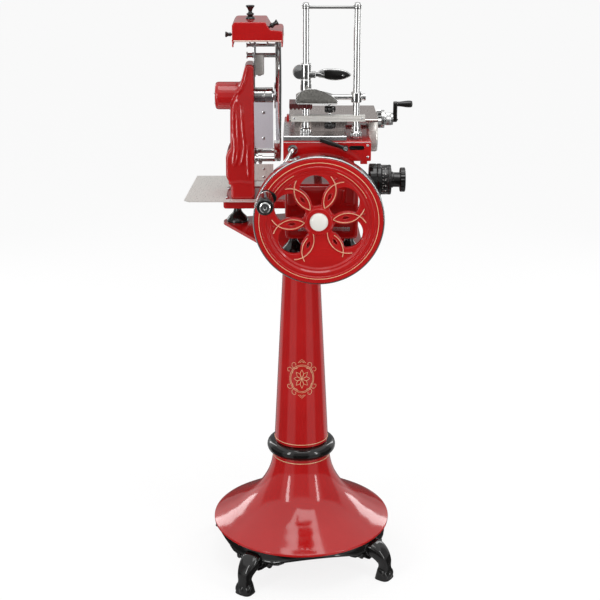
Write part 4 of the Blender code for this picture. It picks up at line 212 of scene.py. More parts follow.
def fillet(points, radius, steps=4, closed=False):
    """Rounds the corners of a line of points."""
    points = [Vector(p) for p in points]
    total = len(points)
    result = []
    for i, corner in enumerate(points):
        if not closed and i in (0, total - 1):
            result.append(corner)
            continue
        back = points[i - 1] - corner
        ahead = points[(i + 1) % total] - corner
        room = min(back.length, ahead.length) * 0.45
        if room < 1e-07 or back.angle(ahead) > radians(168):
            result.append(corner)
            continue
        reach = min(room, radius / tan(back.angle(ahead) / 2))
        first = corner + back.normalized() * reach
        last = corner + ahead.normalized() * reach
        for k in range(steps + 1):
            t = k / steps
            result.append(first * (1 - t) ** 2 + corner * 2 * t * (1 - t) + last * t ** 2)
    return [tuple(p) for p in result]


def lathe(profile, axis, centre, steps=72, ring=False, angle=38, scallops=0, depth=0.0, zone=None):
    """Turns a profile of (radius, place along the axis). Scallops cut grips into the radii inside the zone."""
    shape = bmesh.new()
    rows = []
    for radius, along in profile:
        if radius < 1e-06:
            rows.append([shape.verts.new(on_axis(axis, 0, along, 0))] * steps)
            continue
        row = []
        for turn in (TAU * i / steps for i in range(steps)):
            reach = radius
            if scallops and zone[0] <= along <= zone[1]:
                reach -= depth * (0.5 + 0.5 * cos(turn * scallops))
            row.append(shape.verts.new(on_axis(axis, reach, along, turn)))
        rows.append(row)
    skin(shape, rows, ring)
    mesh = finish_mesh(shape, angle)
    mesh.transform(Matrix.Translation(centre))
    return mesh


def slab(low, high, round_by, segments):
    """A box with rounded edges."""
    shape = bmesh.new()
    bmesh.ops.create_cube(shape, size=1.0)
    size = Vector(high) - Vector(low)
    middle = (Vector(high) + Vector(low)) / 2
    for vert in shape.verts:
        vert.co = Vector((vert.co[i] * size[i] for i in range(3))) + middle
    bmesh.ops.bevel(shape, geom=shape.edges[:], offset=round_by, segments=segments, affect="EDGES", profile=0.5)
    return finish_mesh(shape, 38)


PLANE = {"XZ": Matrix(((1, 0, 0, 0), (0, 0, -1, 0), (0, 1, 0, 0), (0, 0, 0, 1))), "XY": Matrix.Identity(4),
        "YZ": Matrix(((0, 0, 1, 0), (1, 0, 0, 0), (0, 1, 0, 0), (0, 0, 0, 1)))}


def as_mesh(data, steps=()):
    """The mesh that some data gives once its modifiers have run."""
    holder = bpy.data.objects.new("shape", data)
    bpy.context.scene.collection.objects.link(holder)
    for kind, settings in steps:
        modifier = holder.modifiers.new(kind.lower(), kind)
        for key, value in settings.items():
            setattr(modifier, key, value)
    bpy.context.view_layer.update()
    made = bpy.data.meshes.new_from_object(holder.evaluated_get(bpy.context.evaluated_depsgraph_get()))
    bpy.data.objects.remove(holder)
    return made


def baked(kind, lines=(), cyclic=False, **settings):
    """Mesh of a curve or of a figure."""
    data = bpy.data.curves.new("shape", kind)
    for key, value in settings.items():
        setattr(data, key, value)
    for line in lines:
        spline = data.splines.new("POLY")
        spline.points.add(len(line) - 1)
        for point, co in zip(spline.points, line):
            point.co = (*co, *(0,) * (3 - len(co)), 1)
        spline.use_cyclic_u = cyclic
    return as_mesh(data)


def curve_mesh(outlines, cyclic, angle, **settings):
    mesh = baked("CURVE", outlines, cyclic, **settings)
    shape = bmesh.new()
    shape.from_mesh(mesh)
    bmesh.ops.remove_doubles(shape, verts=shape.verts, dist=1e-06)
    bpy.data.meshes.remove(mesh)
    return finish_mesh(shape, angle)


def plate(outlines, thickness, plane, middle, edge):
    """A plate with holes and rounded edges; its middle is a point of the plane's own normal."""
    mesh = curve_mesh(outlines, True, 32, dimensions="2D", fill_mode="BOTH", extrude=thickness / 2 - edge,
            bevel_depth=edge, bevel_resolution=2, offset=-edge)
    mesh.transform(Matrix.Translation(middle) @ PLANE[plane])
    return mesh


def wire(lines, radius, cyclic=False, plane=None, middle=(0, 0, 0), flat=1.0, fineness=3):
    """Round wires along lines of points, or flat lines on a plane."""
    mesh = curve_mesh(lines, cyclic, 60, dimensions="3D", bevel_depth=radius, bevel_resolution=fineness,
            use_fill_caps=not cyclic)
    if plane:
        mesh.transform(Matrix.Translation(middle) @ PLANE[plane] @ Matrix.Diagonal((1, 1, flat, 1)))
    return mesh


def merge(*meshes):
    """One mesh out of several, each kept as its own shell."""
    shape = bmesh.new()
    for mesh in meshes:
        shape.from_mesh(mesh)
        bpy.data.meshes.remove(mesh)
    mesh = bpy.data.meshes.new("shape")
    shape.to_mesh(mesh)
    shape.free()
    mesh.shade_smooth()
    mesh.set_sharp_from_angle(angle=radians(40))
    return mesh


def cast(mesh, voxel, rounds=4):
    """Melts sharp corners as a casting has them."""
    made = as_mesh(mesh, (
        ("REMESH", {"mode": "VOXEL", "voxel_size": voxel}),
        ("SMOOTH", {"factor": 0.5, "iterations": rounds}),
    ))
    bpy.data.meshes.remove(mesh)
    made.shade_smooth()
    return made


def cad_copy(node):
    mesh = NODES[node].data.copy()
    mesh.transform(Matrix.Translation(-SHIFT))
    return mesh


def polar(radius, turn, centre=(0, 0)):
    return centre[0] + radius * cos(turn), centre[1] + radius * sin(turn)


def spots(radius, degrees, centre=(0, 0)):
    """Places on a circle, at directions in degrees."""
    return [polar(radius, radians(turn), centre) for turn in degrees]


def arc(centre, radius, start, end, steps):
    return [polar(radius, start + (end - start) * i / steps, centre) for i in range(steps + 1)]


def ring_line(centre, radius, steps=96):
    return arc(centre, radius, 0, TAU, steps)[:-1]


def capsule(first, last, radius, steps=16):
    """Outline round two places."""
    return taper(first, radius, last, radius, steps)


def taper(first, first_radius, last, last_radius, steps=20):
    """Outline round two places, with a radius at each."""
    first, last = Vector(first), Vector(last)
    lean = atan2((last - first).y, (last - first).x)
    return (arc(first, first_radius, lean + pi / 2, lean + pi * 1.5, steps)
            + arc(last, last_radius, lean - pi / 2, lean + pi / 2, steps))


def smooth_line(points, per=8):
    """A smooth line through points."""
    points = [Vector(p) for p in points]
    padded = [points[0] * 2 - points[1], *points, points[-1] * 2 - points[-2]]
    result = []
    for i in range(1, len(padded) - 2):
        a, b, c, d = padded[i - 1:i + 3]
        for k in range(per):
            t = k / per
            result.append((b * 2 + (c - a) * t + (a * 2 - b * 5 + c * 4 - d) * t ** 2 + (b * 3 - a - c * 3 + d)
                    * t ** 3) / 2)
    result.append(points[-1])
    return [tuple(p) for p in result]


def screw_heads(name, places, axis, radius, height, body, material, sign=1):
    """Slotted dome heads that stand on a face."""
    heads = []
    for at in places:
        dome = [(radius, 0), (radius, height * 0.45), (radius * 0.72, height * 0.82), (radius * 0.3, height),
                (0, height)]
        heads.append(lathe([(r, h * sign) for r, h in [(0, -height * 0.3), (radius, -height * 0.3), *dome]],
                axis, at, 20))
        cross = Vector(on_axis(axis, 0, height * sign * 0.93, 0))
        along = Vector(on_axis(axis, radius * 0.8, 0, 0.6))
        side = Vector(on_axis(axis, radius * 0.14, 0, 0.6 + pi / 2))
        up = Vector(on_axis(axis, 0, height * sign * 0.16, 0))
        shape = bmesh.new()
        corners = [shape.verts.new(Vector(at) + cross + along * u + side * v + up * w) for w in (-1, 1)
                for u, v in ((-1, -1), (1, -1), (1, 1), (-1, 1))]
        for face in ((0, 1, 2, 3), (4, 5, 6, 7), (0, 1, 5, 4), (1, 2, 6, 5), (2, 3, 7, 6), (3, 0, 4, 7)):
            shape.faces.new([corners[i] for i in face])
        slot = finish_mesh(shape, 30)
        piece(f"{name}_slot_{len(heads)}", slot, BLACK, body)
    piece(name, merge(*heads), material, body)


# ---------------------------------------------------------------- studio
AMBIENT = 0.62
WORLD_BOXES = (0.38, 0.85, 1.0)
# Low and high glow of the painted reflection on the floor, seen only by glossy rays.
FLOOR_PAINTED_REFLECTION = (0.08, 0.50)
BOX_EDGE = (0.34, 0.44)
OVERHEAD_EDGE = (0.50, 0.66)
FLOOR_SIZE = 60
FLOOR_COLOUR = (0.86, 0.86, 0.86, 1)
FLOOR_GLOW, FLOOR_GLOW_SHARE = 1.05, 0.80
LAMP_AIM = Vector((0, 0, 0.85))
LAMPS = (
    ("key_left", (-2.1, -2.3, 1.7), (0.45, 2.4), 26),
    ("fill_right", (2.4, -1.9, 1.5), (0.35, 2.2), 18),
    ("top_soft", (0.2, -0.7, 3.6), (1.8, 1.8), 30),
    ("back_left", (-1.9, 2.2, 1.8), (0.5, 2.0), 14),
    ("back_right", (2.0, 2.3, 1.8), (0.5, 2.0), 14),
)
SENSOR_WIDTH, LENS, CAMERA_PITCH = 36, 78, 18.5
CAMERA_AT = Vector((-0.0035, -3.25, 1.829))


def studio():
    scene = bpy.context.scene
    scene.view_settings.view_transform = "Standard"
    world = bpy.data.worlds.new("studio")
    scene.world = world
    world.use_nodes = True
    tree = world.node_tree
    tree.nodes.remove(tree.nodes["Background"])
    direction = tree.nodes.new("ShaderNodeTexCoord").outputs["Generated"]
    boxes = shine(tree, "Background", soft_boxes(tree, direction, *WORLD_BOXES))
    lit = mixed(tree, ray_is(tree, "Glossy"), shine(tree, "Background", AMBIENT), boxes)
    whole = mixed(tree, seen_rays(tree), lit, shine(tree, "Background", 1.0))
    tree.links.new(whole, tree.nodes["World Output"].inputs["Surface"])

    material = bpy.data.materials.new("pale_floor")
    material.use_nodes = True
    tree = material.node_tree
    tree.nodes.remove(tree.nodes["Principled BSDF"])
    matte = tree.nodes.new("ShaderNodeBsdfDiffuse")
    matte.inputs["Color"].default_value = FLOOR_COLOUR
    share = sums(tree, "MULTIPLY", seen_rays(tree), FLOOR_GLOW_SHARE)
    seen = mixed(tree, share, matte.outputs[0], shine(tree, "Emission", FLOOR_GLOW))
    # For glossy rays the floor glows in bright bands on the diagonals: a painted reflection of soft boxes, shown only
    # in the object's reflections.
    place = tree.nodes.new("ShaderNodeTexCoord").outputs["Object"]
    painted_reflection = shine(tree, "Emission", soft_boxes(tree, place, *FLOOR_PAINTED_REFLECTION))
    whole = mixed(tree, ray_is(tree, "Glossy"), seen, painted_reflection)
    tree.links.new(whole, tree.nodes["Material Output"].inputs["Surface"])
    bpy.ops.mesh.primitive_plane_add(size=FLOOR_SIZE, location=(0, 0, 0))
    floor = bpy.context.object
    floor.name = "studio_floor"
    floor.data.materials.append(material)

    for name, at, size, power in LAMPS:
        data = bpy.data.lights.new(name, "AREA")
        data.shape = "RECTANGLE"
        data.size, data.size_y = size
        data.energy = power
        lamp = bpy.data.objects.new(name, data)
        scene.collection.objects.link(lamp)
        lamp.location = at
        lamp.rotation_euler = (LAMP_AIM - Vector(at)).to_track_quat("-Z", "Y").to_euler()

    data = bpy.data.cameras.new("photo_view")
    data.sensor_width = SENSOR_WIDTH
    data.lens = LENS
    camera = bpy.data.objects.new("photo_view", data)
    scene.collection.objects.link(camera)
    camera.location = CAMERA_AT + Vector((SHIFT.x, SHIFT.y, 0))
    camera.rotation_euler = (radians(90 - CAMERA_PITCH), 0, 0)
    scene.camera = camera


def ray_is(tree, kind):
    return tree.nodes.new("ShaderNodeLightPath").outputs[f"Is {kind} Ray"]


def sums(tree, operation, *values):
    node = tree.nodes.new("ShaderNodeMath")
    node.operation = operation
    for socket, value in zip(node.inputs, values):
        if isinstance(value, (int, float)):
            socket.default_value = value
        else:
            tree.links.new(value, socket)
    return node.outputs[0]


def seen_rays(tree):
    """1 for camera and transmission rays."""
    return sums(tree, "MAXIMUM", ray_is(tree, "Camera"), ray_is(tree, "Transmission"))


def shine(tree, kind, strength):
    """A white background or emission of one strength, or of a worked-out one."""
    node = tree.nodes.new(f"ShaderNode{kind}")
    node.inputs["Color"].default_value = (1, 1, 1, 1)
    if isinstance(strength, (int, float)):
        node.inputs["Strength"].default_value = strength
    else:
        tree.links.new(strength, node.inputs["Strength"])
    return node.outputs[0]


def mixed(tree, share, first, second):
    node = tree.nodes.new("ShaderNodeMixShader")
    for socket, value in zip(node.inputs, (share, first, second)):
        tree.links.new(value, socket)
    return node.outputs[0]


def soft_boxes(tree, vector, low, high, top=None):
    """What polished faces mirror: bright soft boxes on the four diagonals, and overhead if top is given; world light in
    the world, a painted reflection where the floor glows with it.
    """
    def eased(value, start, end, first, last):
        node = tree.nodes.new("ShaderNodeMapRange")
        node.interpolation_type = "SMOOTHSTEP"
        for key, number in (("From Min", start), ("From Max", end), ("To Min", first), ("To Max", last)):
            node.inputs[key].default_value = number
        tree.links.new(value, node.inputs["Value"])
        return node.outputs["Result"]

    split = tree.nodes.new("ShaderNodeSeparateXYZ")
    tree.links.new(vector, split.inputs[0])
    x, y, z = split.outputs
    squares = sums(tree, "ADD", sums(tree, "MULTIPLY", x, x), sums(tree, "MULTIPLY", y, y))
    diagonal = sums(tree, "DIVIDE", sums(tree, "ABSOLUTE", sums(tree, "MULTIPLY", x, y)),
            sums(tree, "ADD", squares, 0.0001))
    value = eased(diagonal, *BOX_EDGE, low, high)
    return value if top is None else sums(tree, "MAXIMUM", value, eased(z, *OVERHEAD_EDGE, 0.0, top))


# ---------------------------------------------------------------- pedestal
WALL = 0.007
BELL_TOP, BELL_TOP_RADIUS, RIM_TOP, RIM_RADIUS, RIM_BOTTOM = 0.312, 0.0745, 0.118, 0.241, 0.1115
BELL_SHARES = ((0.0, 1.0), (0.021, 0.918), (0.057, 0.768), (0.135, 0.603), (0.273, 0.423), (0.483, 0.268),
        (0.724, 0.139), (0.904, 0.05), (1.0, 0.0))
COLLAR_BORE, COLLAR_LOW, COLLAR_HIGH = 0.058, 0.3123, 0.3463
COLLAR_RADIUS, COLLAR_BULGE = 0.0765, 0.016
COLUMN_LOW, COLUMN_HIGH, FOOT_RADIUS, HEAD_RADIUS, FLANGE_RADIUS = 0.3466, 0.912, 0.0728, 0.0455, 0.066
COLUMN_NECK = COLUMN_HIGH - 0.02
BELL_LINE_HEIGHT, COLUMN_LINE_HEIGHT = 0.302, 0.3555
ORNAMENT_ACROSS, ORNAMENT_HEIGHT = 0.0015, 0.543
APRON_RADIUS, APRON_INNER, APRON_TOP, APRON_LOW, ARCH_RISE = 0.232, 0.202, 0.1112, 0.0792, 0.021
APRON_STEPS = 240
LEG_TURN, LEG_SIDES, LEG_SQUARENESS, SOLE_LOW = radians(11.5), 40, 3.2, 0.0004
LEG_SPINE = ((0.214, 0.085), (0.24, 0.079), (0.258, 0.0665), (0.2685, 0.051), (0.27, 0.036), (0.269, 0.023),
        (0.269, -0.003))
LEG_GIRTH = ((0.027, 0.02), (0.0265, 0.0205), (0.0235, 0.0185), (0.0195, 0.0155), (0.0175, 0.0145), (0.0205, 0.017),
        (0.025, 0.0225))
BRACKET_AT, BRACKET_TOP = 0.2255, 0.0895
PAD_RADIUS, PAD_HEIGHT, PAD_LOW = 0.0295, 0.042, 0.9206
PADS = (("left_foot", -0.171, 0.14), ("front_left_foot", -0.02, -0.15), ("front_right_foot", 0.118, -0.15),
        ("back_right_foot", 0.11, 0.225))


def bell_line():
    reach, rise = RIM_RADIUS - BELL_TOP_RADIUS, BELL_TOP - RIM_TOP
    return smooth_line([(BELL_TOP_RADIUS + s * reach, RIM_TOP + h * rise, 0) for s, h in BELL_SHARES], 6)


def pedestal_bell():
    outer = [(r, z) for r, z, _ in bell_line()]
    rim = fillet([outer[-2], outer[-1], (RIM_RADIUS, RIM_BOTTOM), (APRON_INNER, RIM_BOTTOM)], 0.0026, 5)
    inner = [(r - WALL, z - WALL) for r, z in reversed(outer[4:-8:5])]
    profile = [(COLLAR_BORE, BELL_TOP), *outer[:-2], *rim, *inner, (COLLAR_BORE, BELL_TOP - WALL)]
    piece("bell_shell", lathe(profile, "Z", (0, 0, 0), 160, ring=True), RED, "pedestal", ["pedestal_bell"])
    height = BELL_LINE_HEIGHT
    above, below = [(high, low) for high, low in zip(outer, outer[1:]) if high[1] >= height >= low[1]][0]
    share = (above[1] - height) / (above[1] - below[1])
    radius = above[0] + (below[0] - above[0]) * share + 0.0001
    line = [(*at, height) for at in ring_line((0, 0), radius, 128)]
    piece("bell_gold_line", wire([line], 0.0011, True), GOLD, "pedestal")


def pedestal_collar():
    middle, half = (COLLAR_LOW + COLLAR_HIGH) / 2, (COLLAR_HIGH - COLLAR_LOW) / 2
    turns = [pi / 2 - pi * i / 20 for i in range(21)]
    bulge = [(COLLAR_RADIUS + COLLAR_BULGE * cos(t), middle + half * sin(t)) for t in turns]
    profile = [(COLLAR_BORE, COLLAR_HIGH), *bulge, (COLLAR_BORE, COLLAR_LOW)]
    ring = lathe(profile, "Z", (0, 0, 0), 144, ring=True, angle=60)
    piece("collar_ring", ring, BLACK, "pedestal", ["pedestal_collar"])


def column_radius(height):
    share = (height - COLUMN_LOW) / (COLUMN_NECK - COLUMN_LOW)
    return FOOT_RADIUS + (HEAD_RADIUS - FOOT_RADIUS) * share


def pedestal_column():
    outer = fillet([(0, COLUMN_HIGH), (FLANGE_RADIUS, COLUMN_HIGH), (FLANGE_RADIUS, COLUMN_HIGH - 0.01),
            (HEAD_RADIUS, COLUMN_NECK), (FOOT_RADIUS, COLUMN_LOW), (FOOT_RADIUS - WALL, COLUMN_LOW)], 0.003, 4)
    inner = [(HEAD_RADIUS - WALL, COLUMN_NECK), (0, COLUMN_NECK)]
    piece("column_shell", lathe(outer + inner, "Z", (0, 0, 0), 144), RED, "pedestal", ["pedestal_column"])
    height = COLUMN_LINE_HEIGHT
    line = [(*at, height) for at in ring_line((0, 0), column_radius(height), 128)]
    piece("column_gold_line", wire([line], 0.0009, True), GOLD, "pedestal")
    piece("column_ornament", wrap_on_column(ornament_lines()), GOLD, "pedestal")
    bolts = [(*at, COLUMN_HIGH - 0.0115) for at in spots(0.058, (45, 135, 225, 315))]
    screw_heads("column_bolt", bolts, "Z", 0.0045, 0.004, "pedestal", STEEL, -1)


def ornament_lines():
    """A plain wreath of scrolls and a star, as lines across and up from the middle of the ornament."""
    lines = []
    for half_width, half_height in ((0.033, 0.0385), (0.03, 0.0352)):
        lines.append([(half_width * cos(t), half_height * sin(t)) for t in (TAU * i / 64 for i in range(65))])
    for k in range(8):
        turn = TAU * k / 8
        tip = (0.0215 * cos(turn), 0.0255 * sin(turn), 0)
        for side in (-1, 1):
            swing = turn + side * 0.36
            middle = (0.0125 * cos(swing), 0.0148 * sin(swing), 0)
            lines.append([at[:2] for at in smooth_line([(0, 0, 0), middle, tip], 6)])
    for k in range(4):
        turn = TAU * k / 4 + pi / 4
        for side in (-1, 1):
            angle = turn + side * 0.27
            scroll = []
            for i in range(26):
                t = i / 25
                base, reach = 0.0385 + 0.002 * t, 0.0105 * (1 - 0.72 * t)
                bend = turn + pi + side * t * 3.9 * pi / 2
                scroll.append((base * cos(angle) + reach * cos(bend), base * 1.12 * sin(angle) + reach * sin(bend)))
            lines.append(scroll)
    for sign in (-1, 1):
        for half, tip in ((0.01, 0.054), (0.0055, 0.049)):
            lines.append([(-half, sign * 0.0445), (0, sign * tip), (half, sign * 0.0445)])
    return lines


def wrap_on_column(lines):
    wrapped = []
    for line in lines:
        row = []
        for across, up in line:
            height = ORNAMENT_HEIGHT + up
            radius = column_radius(height) + 0.0002
            turn = (across + ORNAMENT_ACROSS) / radius
            row.append((radius * sin(turn), -radius * cos(turn), height))
        wrapped.append(row)
    return wire(wrapped, 0.00055)


def leg_turn(k):
    return LEG_TURN + radians(45) + k * pi / 2 - pi / 2


def apron_height(turn):
    """Lower edge of the apron at a direction, with four arches."""
    arch_radius = (APRON_RADIUS * 0.5) ** 2 / (2 * ARCH_RISE)
    best = APRON_LOW
    for k in range(4):
        swing = (turn - leg_turn(k + 0.5) + pi) % TAU - pi
        across = APRON_RADIUS * sin(swing)
        if abs(swing) < pi / 2 and abs(across) < arch_radius:
            best = max(best, APRON_LOW + ARCH_RISE - arch_radius + sqrt(arch_radius ** 2 - across ** 2))
    return best


def pedestal_legs():
    shape = bmesh.new()
    rows = []
    for turn in (TAU * i / APRON_STEPS for i in range(APRON_STEPS)):
        low, outer = apron_height(turn), APRON_RADIUS
        section = [(APRON_INNER, APRON_TOP), (outer, APRON_TOP), (outer, low + 0.0075), (outer + 0.0012, low + 0.006),
                (outer + 0.0016, low + 0.0035), (outer + 0.0008, low + 0.001), (outer - 0.0015, low),
                (APRON_INNER, low)]
        rows.append([shape.verts.new((*polar(r, turn), z)) for r, z in section])
    skin(shape, rows, around=True)
    piece("apron_ring", finish_mesh(shape, 50), BLACK, "pedestal", ["leg_casting"])
    leg = leg_mesh()
    for k in range(4):
        copy = leg.copy()
        copy.transform(Matrix.Rotation(leg_turn(k), 4, "Z"))
        piece(f"cabriole_leg_{k + 1}", copy, BLACK, "pedestal")


def leg_mesh():
    """One leg pointing along +X: ribbed knee, thin ankle and a paw, with scroll brackets under the apron."""
    spine = smooth_line([(x, 0, z) for x, z in LEG_SPINE], 6)
    girth = smooth_line([(wide, deep, 0) for wide, deep in LEG_GIRTH], 6)
    shape = bmesh.new()
    rings = []
    for i, (at, (wide, deep, _)) in enumerate(zip(spine, girth)):
        ahead = Vector(spine[min(i + 1, len(spine) - 1)]) - Vector(spine[max(i - 1, 0)])
        inward = Vector((-ahead.z, 0, ahead.x)).normalized()
        ring = []
        for c, s in (polar(1, TAU * k / LEG_SIDES) for k in range(LEG_SIDES)):
            square = (abs(c) ** LEG_SQUARENESS + abs(s) ** LEG_SQUARENESS) ** (-1 / LEG_SQUARENESS)
            groove = 0.16 * sum(exp(-((c * square - side) / 0.13) ** 2) for side in (-0.4, 0.4)) * (s > 0)
            ring.append(shape.verts.new(Vector(at) + Vector((0, 1, 0)) * wide * c * square
                    - inward * deep * s * square * (1 - groove)))
        rings.append(ring)
    skin(shape, rings)
    shape.faces.new(rings[0])
    shape.faces.new(rings[-1])
    body = finish_mesh(shape, 180)
    toes = []
    for side, reach in ((-1, 0.011), (0, 0.0145), (1, 0.011)):
        x, y = LEG_SPINE[-1][0], side * 0.015
        line = smooth_line([(x + reach * 0.4, y, 0.022), (x + reach, y, 0.0145), (x + reach, y, 0.0075)], 4)
        toes.append(wire([line], 0.0078))
    bracket = [(-0.088, 0.086), (-0.072, 0.0775), (-0.05, 0.0745), (-0.036, 0.065), (-0.026, 0.056), (-0.016, 0.05)]
    outline = bracket + [(-a, b) for a, b in reversed(bracket)] + [(0.088, BRACKET_TOP), (-0.088, BRACKET_TOP)]
    wedge = plate([outline], 0.017, "YZ", (BRACKET_AT, 0, 0), 0.002)
    scrolls = [wire([[(x, y, 0.0735) for x in (BRACKET_AT - 0.0095, BRACKET_AT + 0.01)]], 0.0072)
            for y in (-0.048, 0.048)]
    for mesh in (wedge, *scrolls):
        for vert in mesh.vertices:
            vert.co.x, vert.co.y = polar(vert.co.x, vert.co.y / BRACKET_AT)
    mesh = cast(merge(body, wedge, *toes, *scrolls), 0.0016, 3)
    for vert in mesh.vertices:
        vert.co.z = max(vert.co.z, SOLE_LOW)
    return mesh


def machine_feet():
    shares = ((0.32, 0.86), (0.345, 0.74), (0.4, 0.63), (0.5, 0.52), (0.63, 0.42), (0.78, 0.32), (0.9, 0.21),
            (0.975, 0.12), (1.0, 0.06), (0.985, 0.0))
    pad = [(0, PAD_HEIGHT), (0.0095, PAD_HEIGHT), *[(r * PAD_RADIUS, h * PAD_HEIGHT) for r, h in shares], (0, 0)]
    for name, x, y in PADS:
        piece(f"{name}_rubber", lathe(pad, "Z", (x, y, PAD_LOW), 64, angle=50), FOOT, "pedestal", [name])


# ---------------------------------------------------------------- flywheel
WHEEL_AT = Vector((0.041, 0, 1.031))
WHEEL_FRONT, WHEEL_BACK, WHEEL_RADIUS = -0.285, -0.24, 0.156
WEB_FRONT, WEB_BACK = WHEEL_FRONT + 0.0075, WHEEL_FRONT + 0.0215
PETALS, PETAL_START, PETAL_REACH, PETAL_RADIUS, LENS_REACH = 6, radians(7), 0.0757, 0.0492, 0.0639
PETAL_SPANS = ((-125, 125),)
BARE_SECTOR, BARE_SPANS = 4, ((-112, -40), (40, 112))
CRANK_TURN, CRANK_THROW, GRIP_LENGTH = radians(153), 0.139, 0.104


def petal_window(middle):
    """Opening of the web between two petals."""
    own, radius = Vector(polar(0.0738, middle)), 0.037
    limits = [(Vector(polar(0.0738, middle + side * TAU / PETALS)), 0.0528) for side in (-1, 1)]
    limits.append((Vector((0, 0)), 0.036))
    outline = []
    for i in range(120):
        ray = Vector(polar(1, middle + TAU * i / 120))
        reach = radius
        for near, limit in limits:
            offset = own - near
            b, c = ray.dot(offset), offset.dot(offset) - limit ** 2
            if b * b > c and -b - sqrt(b * b - c) > 0:
                reach = min(reach, -b - sqrt(b * b - c))
        outline.append(tuple(own + ray * reach))
    return outline


def lens(angle, length, width, steps=12):
    """A pointed oval on the line of a petal's tip."""
    along = Vector(polar(1, angle))
    across = Vector((-along.y, along.x))
    outline = []
    for side in (1, -1):
        for t in (-1 + 2 * i / steps for i in range(steps)):
            outline.append(tuple(along * (LENS_REACH + side * t * length / 2) + across
                    * (side * (1 - t * t) * width / 2)))
    return outline


def flywheel():
    x, _, z = WHEEL_AT
    front = WHEEL_FRONT
    rim = [(0.114, WEB_BACK), (0.128, WEB_BACK), (0.131, WHEEL_BACK), (0.153, WHEEL_BACK), (0.153, front + 0.003),
            (0.1515, front), (0.1372, front), (0.1362, front + 0.0012), (0.133, front + 0.0012), (0.1318, front),
            (0.1262, front), (0.1226, front + 0.0042), (0.1188, front + 0.0042), (0.115, WEB_FRONT),
            (0.112, WEB_FRONT), (0.112, WEB_BACK)]
    windows, slots, eyes, petals = [], [], [], []
    for index in range(PETALS):
        angle = PETAL_START + index * TAU / PETALS
        middle = angle + TAU / (2 * PETALS)
        slots.append(lens(angle, 0.0185, 0.0062))
        eyes.append(lens(angle, 0.0225, 0.0098))
        if index != BARE_SECTOR:
            windows.append(petal_window(middle))
        for low, high in (BARE_SPANS if index == BARE_SECTOR else PETAL_SPANS):
            inward = middle + pi
            petals.append(arc(polar(PETAL_REACH, middle), PETAL_RADIUS, inward + radians(low), inward + radians(high),
                    60))
    web = plate([ring_line((0, 0), 0.114, 160), *windows, *slots], WEB_BACK - WEB_FRONT, "XZ",
            (x, (WEB_FRONT + WEB_BACK) / 2, z), 0.0014)
    hub = [(0.0128, WHEEL_BACK), (0.028, WHEEL_BACK), (0.03, WEB_BACK - 0.002), (0.036, WEB_FRONT + 0.001),
            (0.033, front + 0.003), (0.031, front), (0.0128, front)]
    # Raised edges along the petals and round the openings.
    ridges = wire(petals, 0.003, False, "XZ", (x, WEB_FRONT + 0.0002, z), 0.9)
    rings = [wire([eye], 0.0013, True, "XZ", (x, WEB_FRONT, z), 0.8) for eye in eyes]
    piece("wheel_casting", merge(lathe(fillet(rim, 0.0012, 3), "Y", WHEEL_AT, 192, ring=True), web,
            lathe(fillet(hub, 0.0025, 4), "Y", WHEEL_AT, 96, ring=True), ridges, *rings), RED, "flywheel", ["flywheel"])

    arcs = [arc((0, 0), 0.1256, radians(a), radians(b), 30) for a, b in ((27, 70), (118, 150))]
    for name, lines, radius, closed, y, flat in (
            ("wheel_petal_lines", petals, 0.00075, False, WEB_FRONT - 0.00235, 0.8),
            ("wheel_gold_ring", [ring_line((0, 0), 0.1417, 192)], 0.0007, True, front, 0.5),
            ("wheel_gold_arcs", arcs, 0.0007, False, front + 0.0006, 0.6)):
        piece(name, wire(lines, radius, closed, "XZ", (x, y, z), flat), GOLD, "flywheel")
    band = [(0.1528, WHEEL_BACK + 0.0005), (0.1545, WHEEL_BACK + 0.0005), (WHEEL_RADIUS, WHEEL_BACK + 0.002),
            (WHEEL_RADIUS, front + 0.004), (0.1545, front + 0.0012), (0.1528, front + 0.0012)]
    piece("wheel_steel_band", lathe(fillet(band, 0.0008, 3), "Y", WHEEL_AT, 192, ring=True), BAND, "flywheel")
    rivets = [(a, WEB_FRONT, b) for a, b in spots(0.1092, (8, 68, 128, 187), (x, z))]
    screw_heads("wheel_rivet", rivets, "Y", 0.0032, 0.0022, "flywheel", RED, -1)
    foot = front - 0.0003
    dome = [(0.0218 * cos(a), foot - 0.011 * (0.22 + 0.78 * sin(a))) for a in (i * pi / 32 for i in range(16))]
    cap = [(0, foot), (0.0218, foot), *dome, (0, foot - 0.011)]
    piece("hub_cap_dome", lathe(cap, "Y", WHEEL_AT, 96, angle=60), PEARL, "flywheel", ["hub_cap"])
    ring = [(0.022, front), (0.025, front), (0.0246, front - 0.0022), (0.0222, front - 0.0026)]
    piece("hub_cap_ring", lathe(ring, "Y", WHEEL_AT, 96, ring=True), RED, "flywheel")


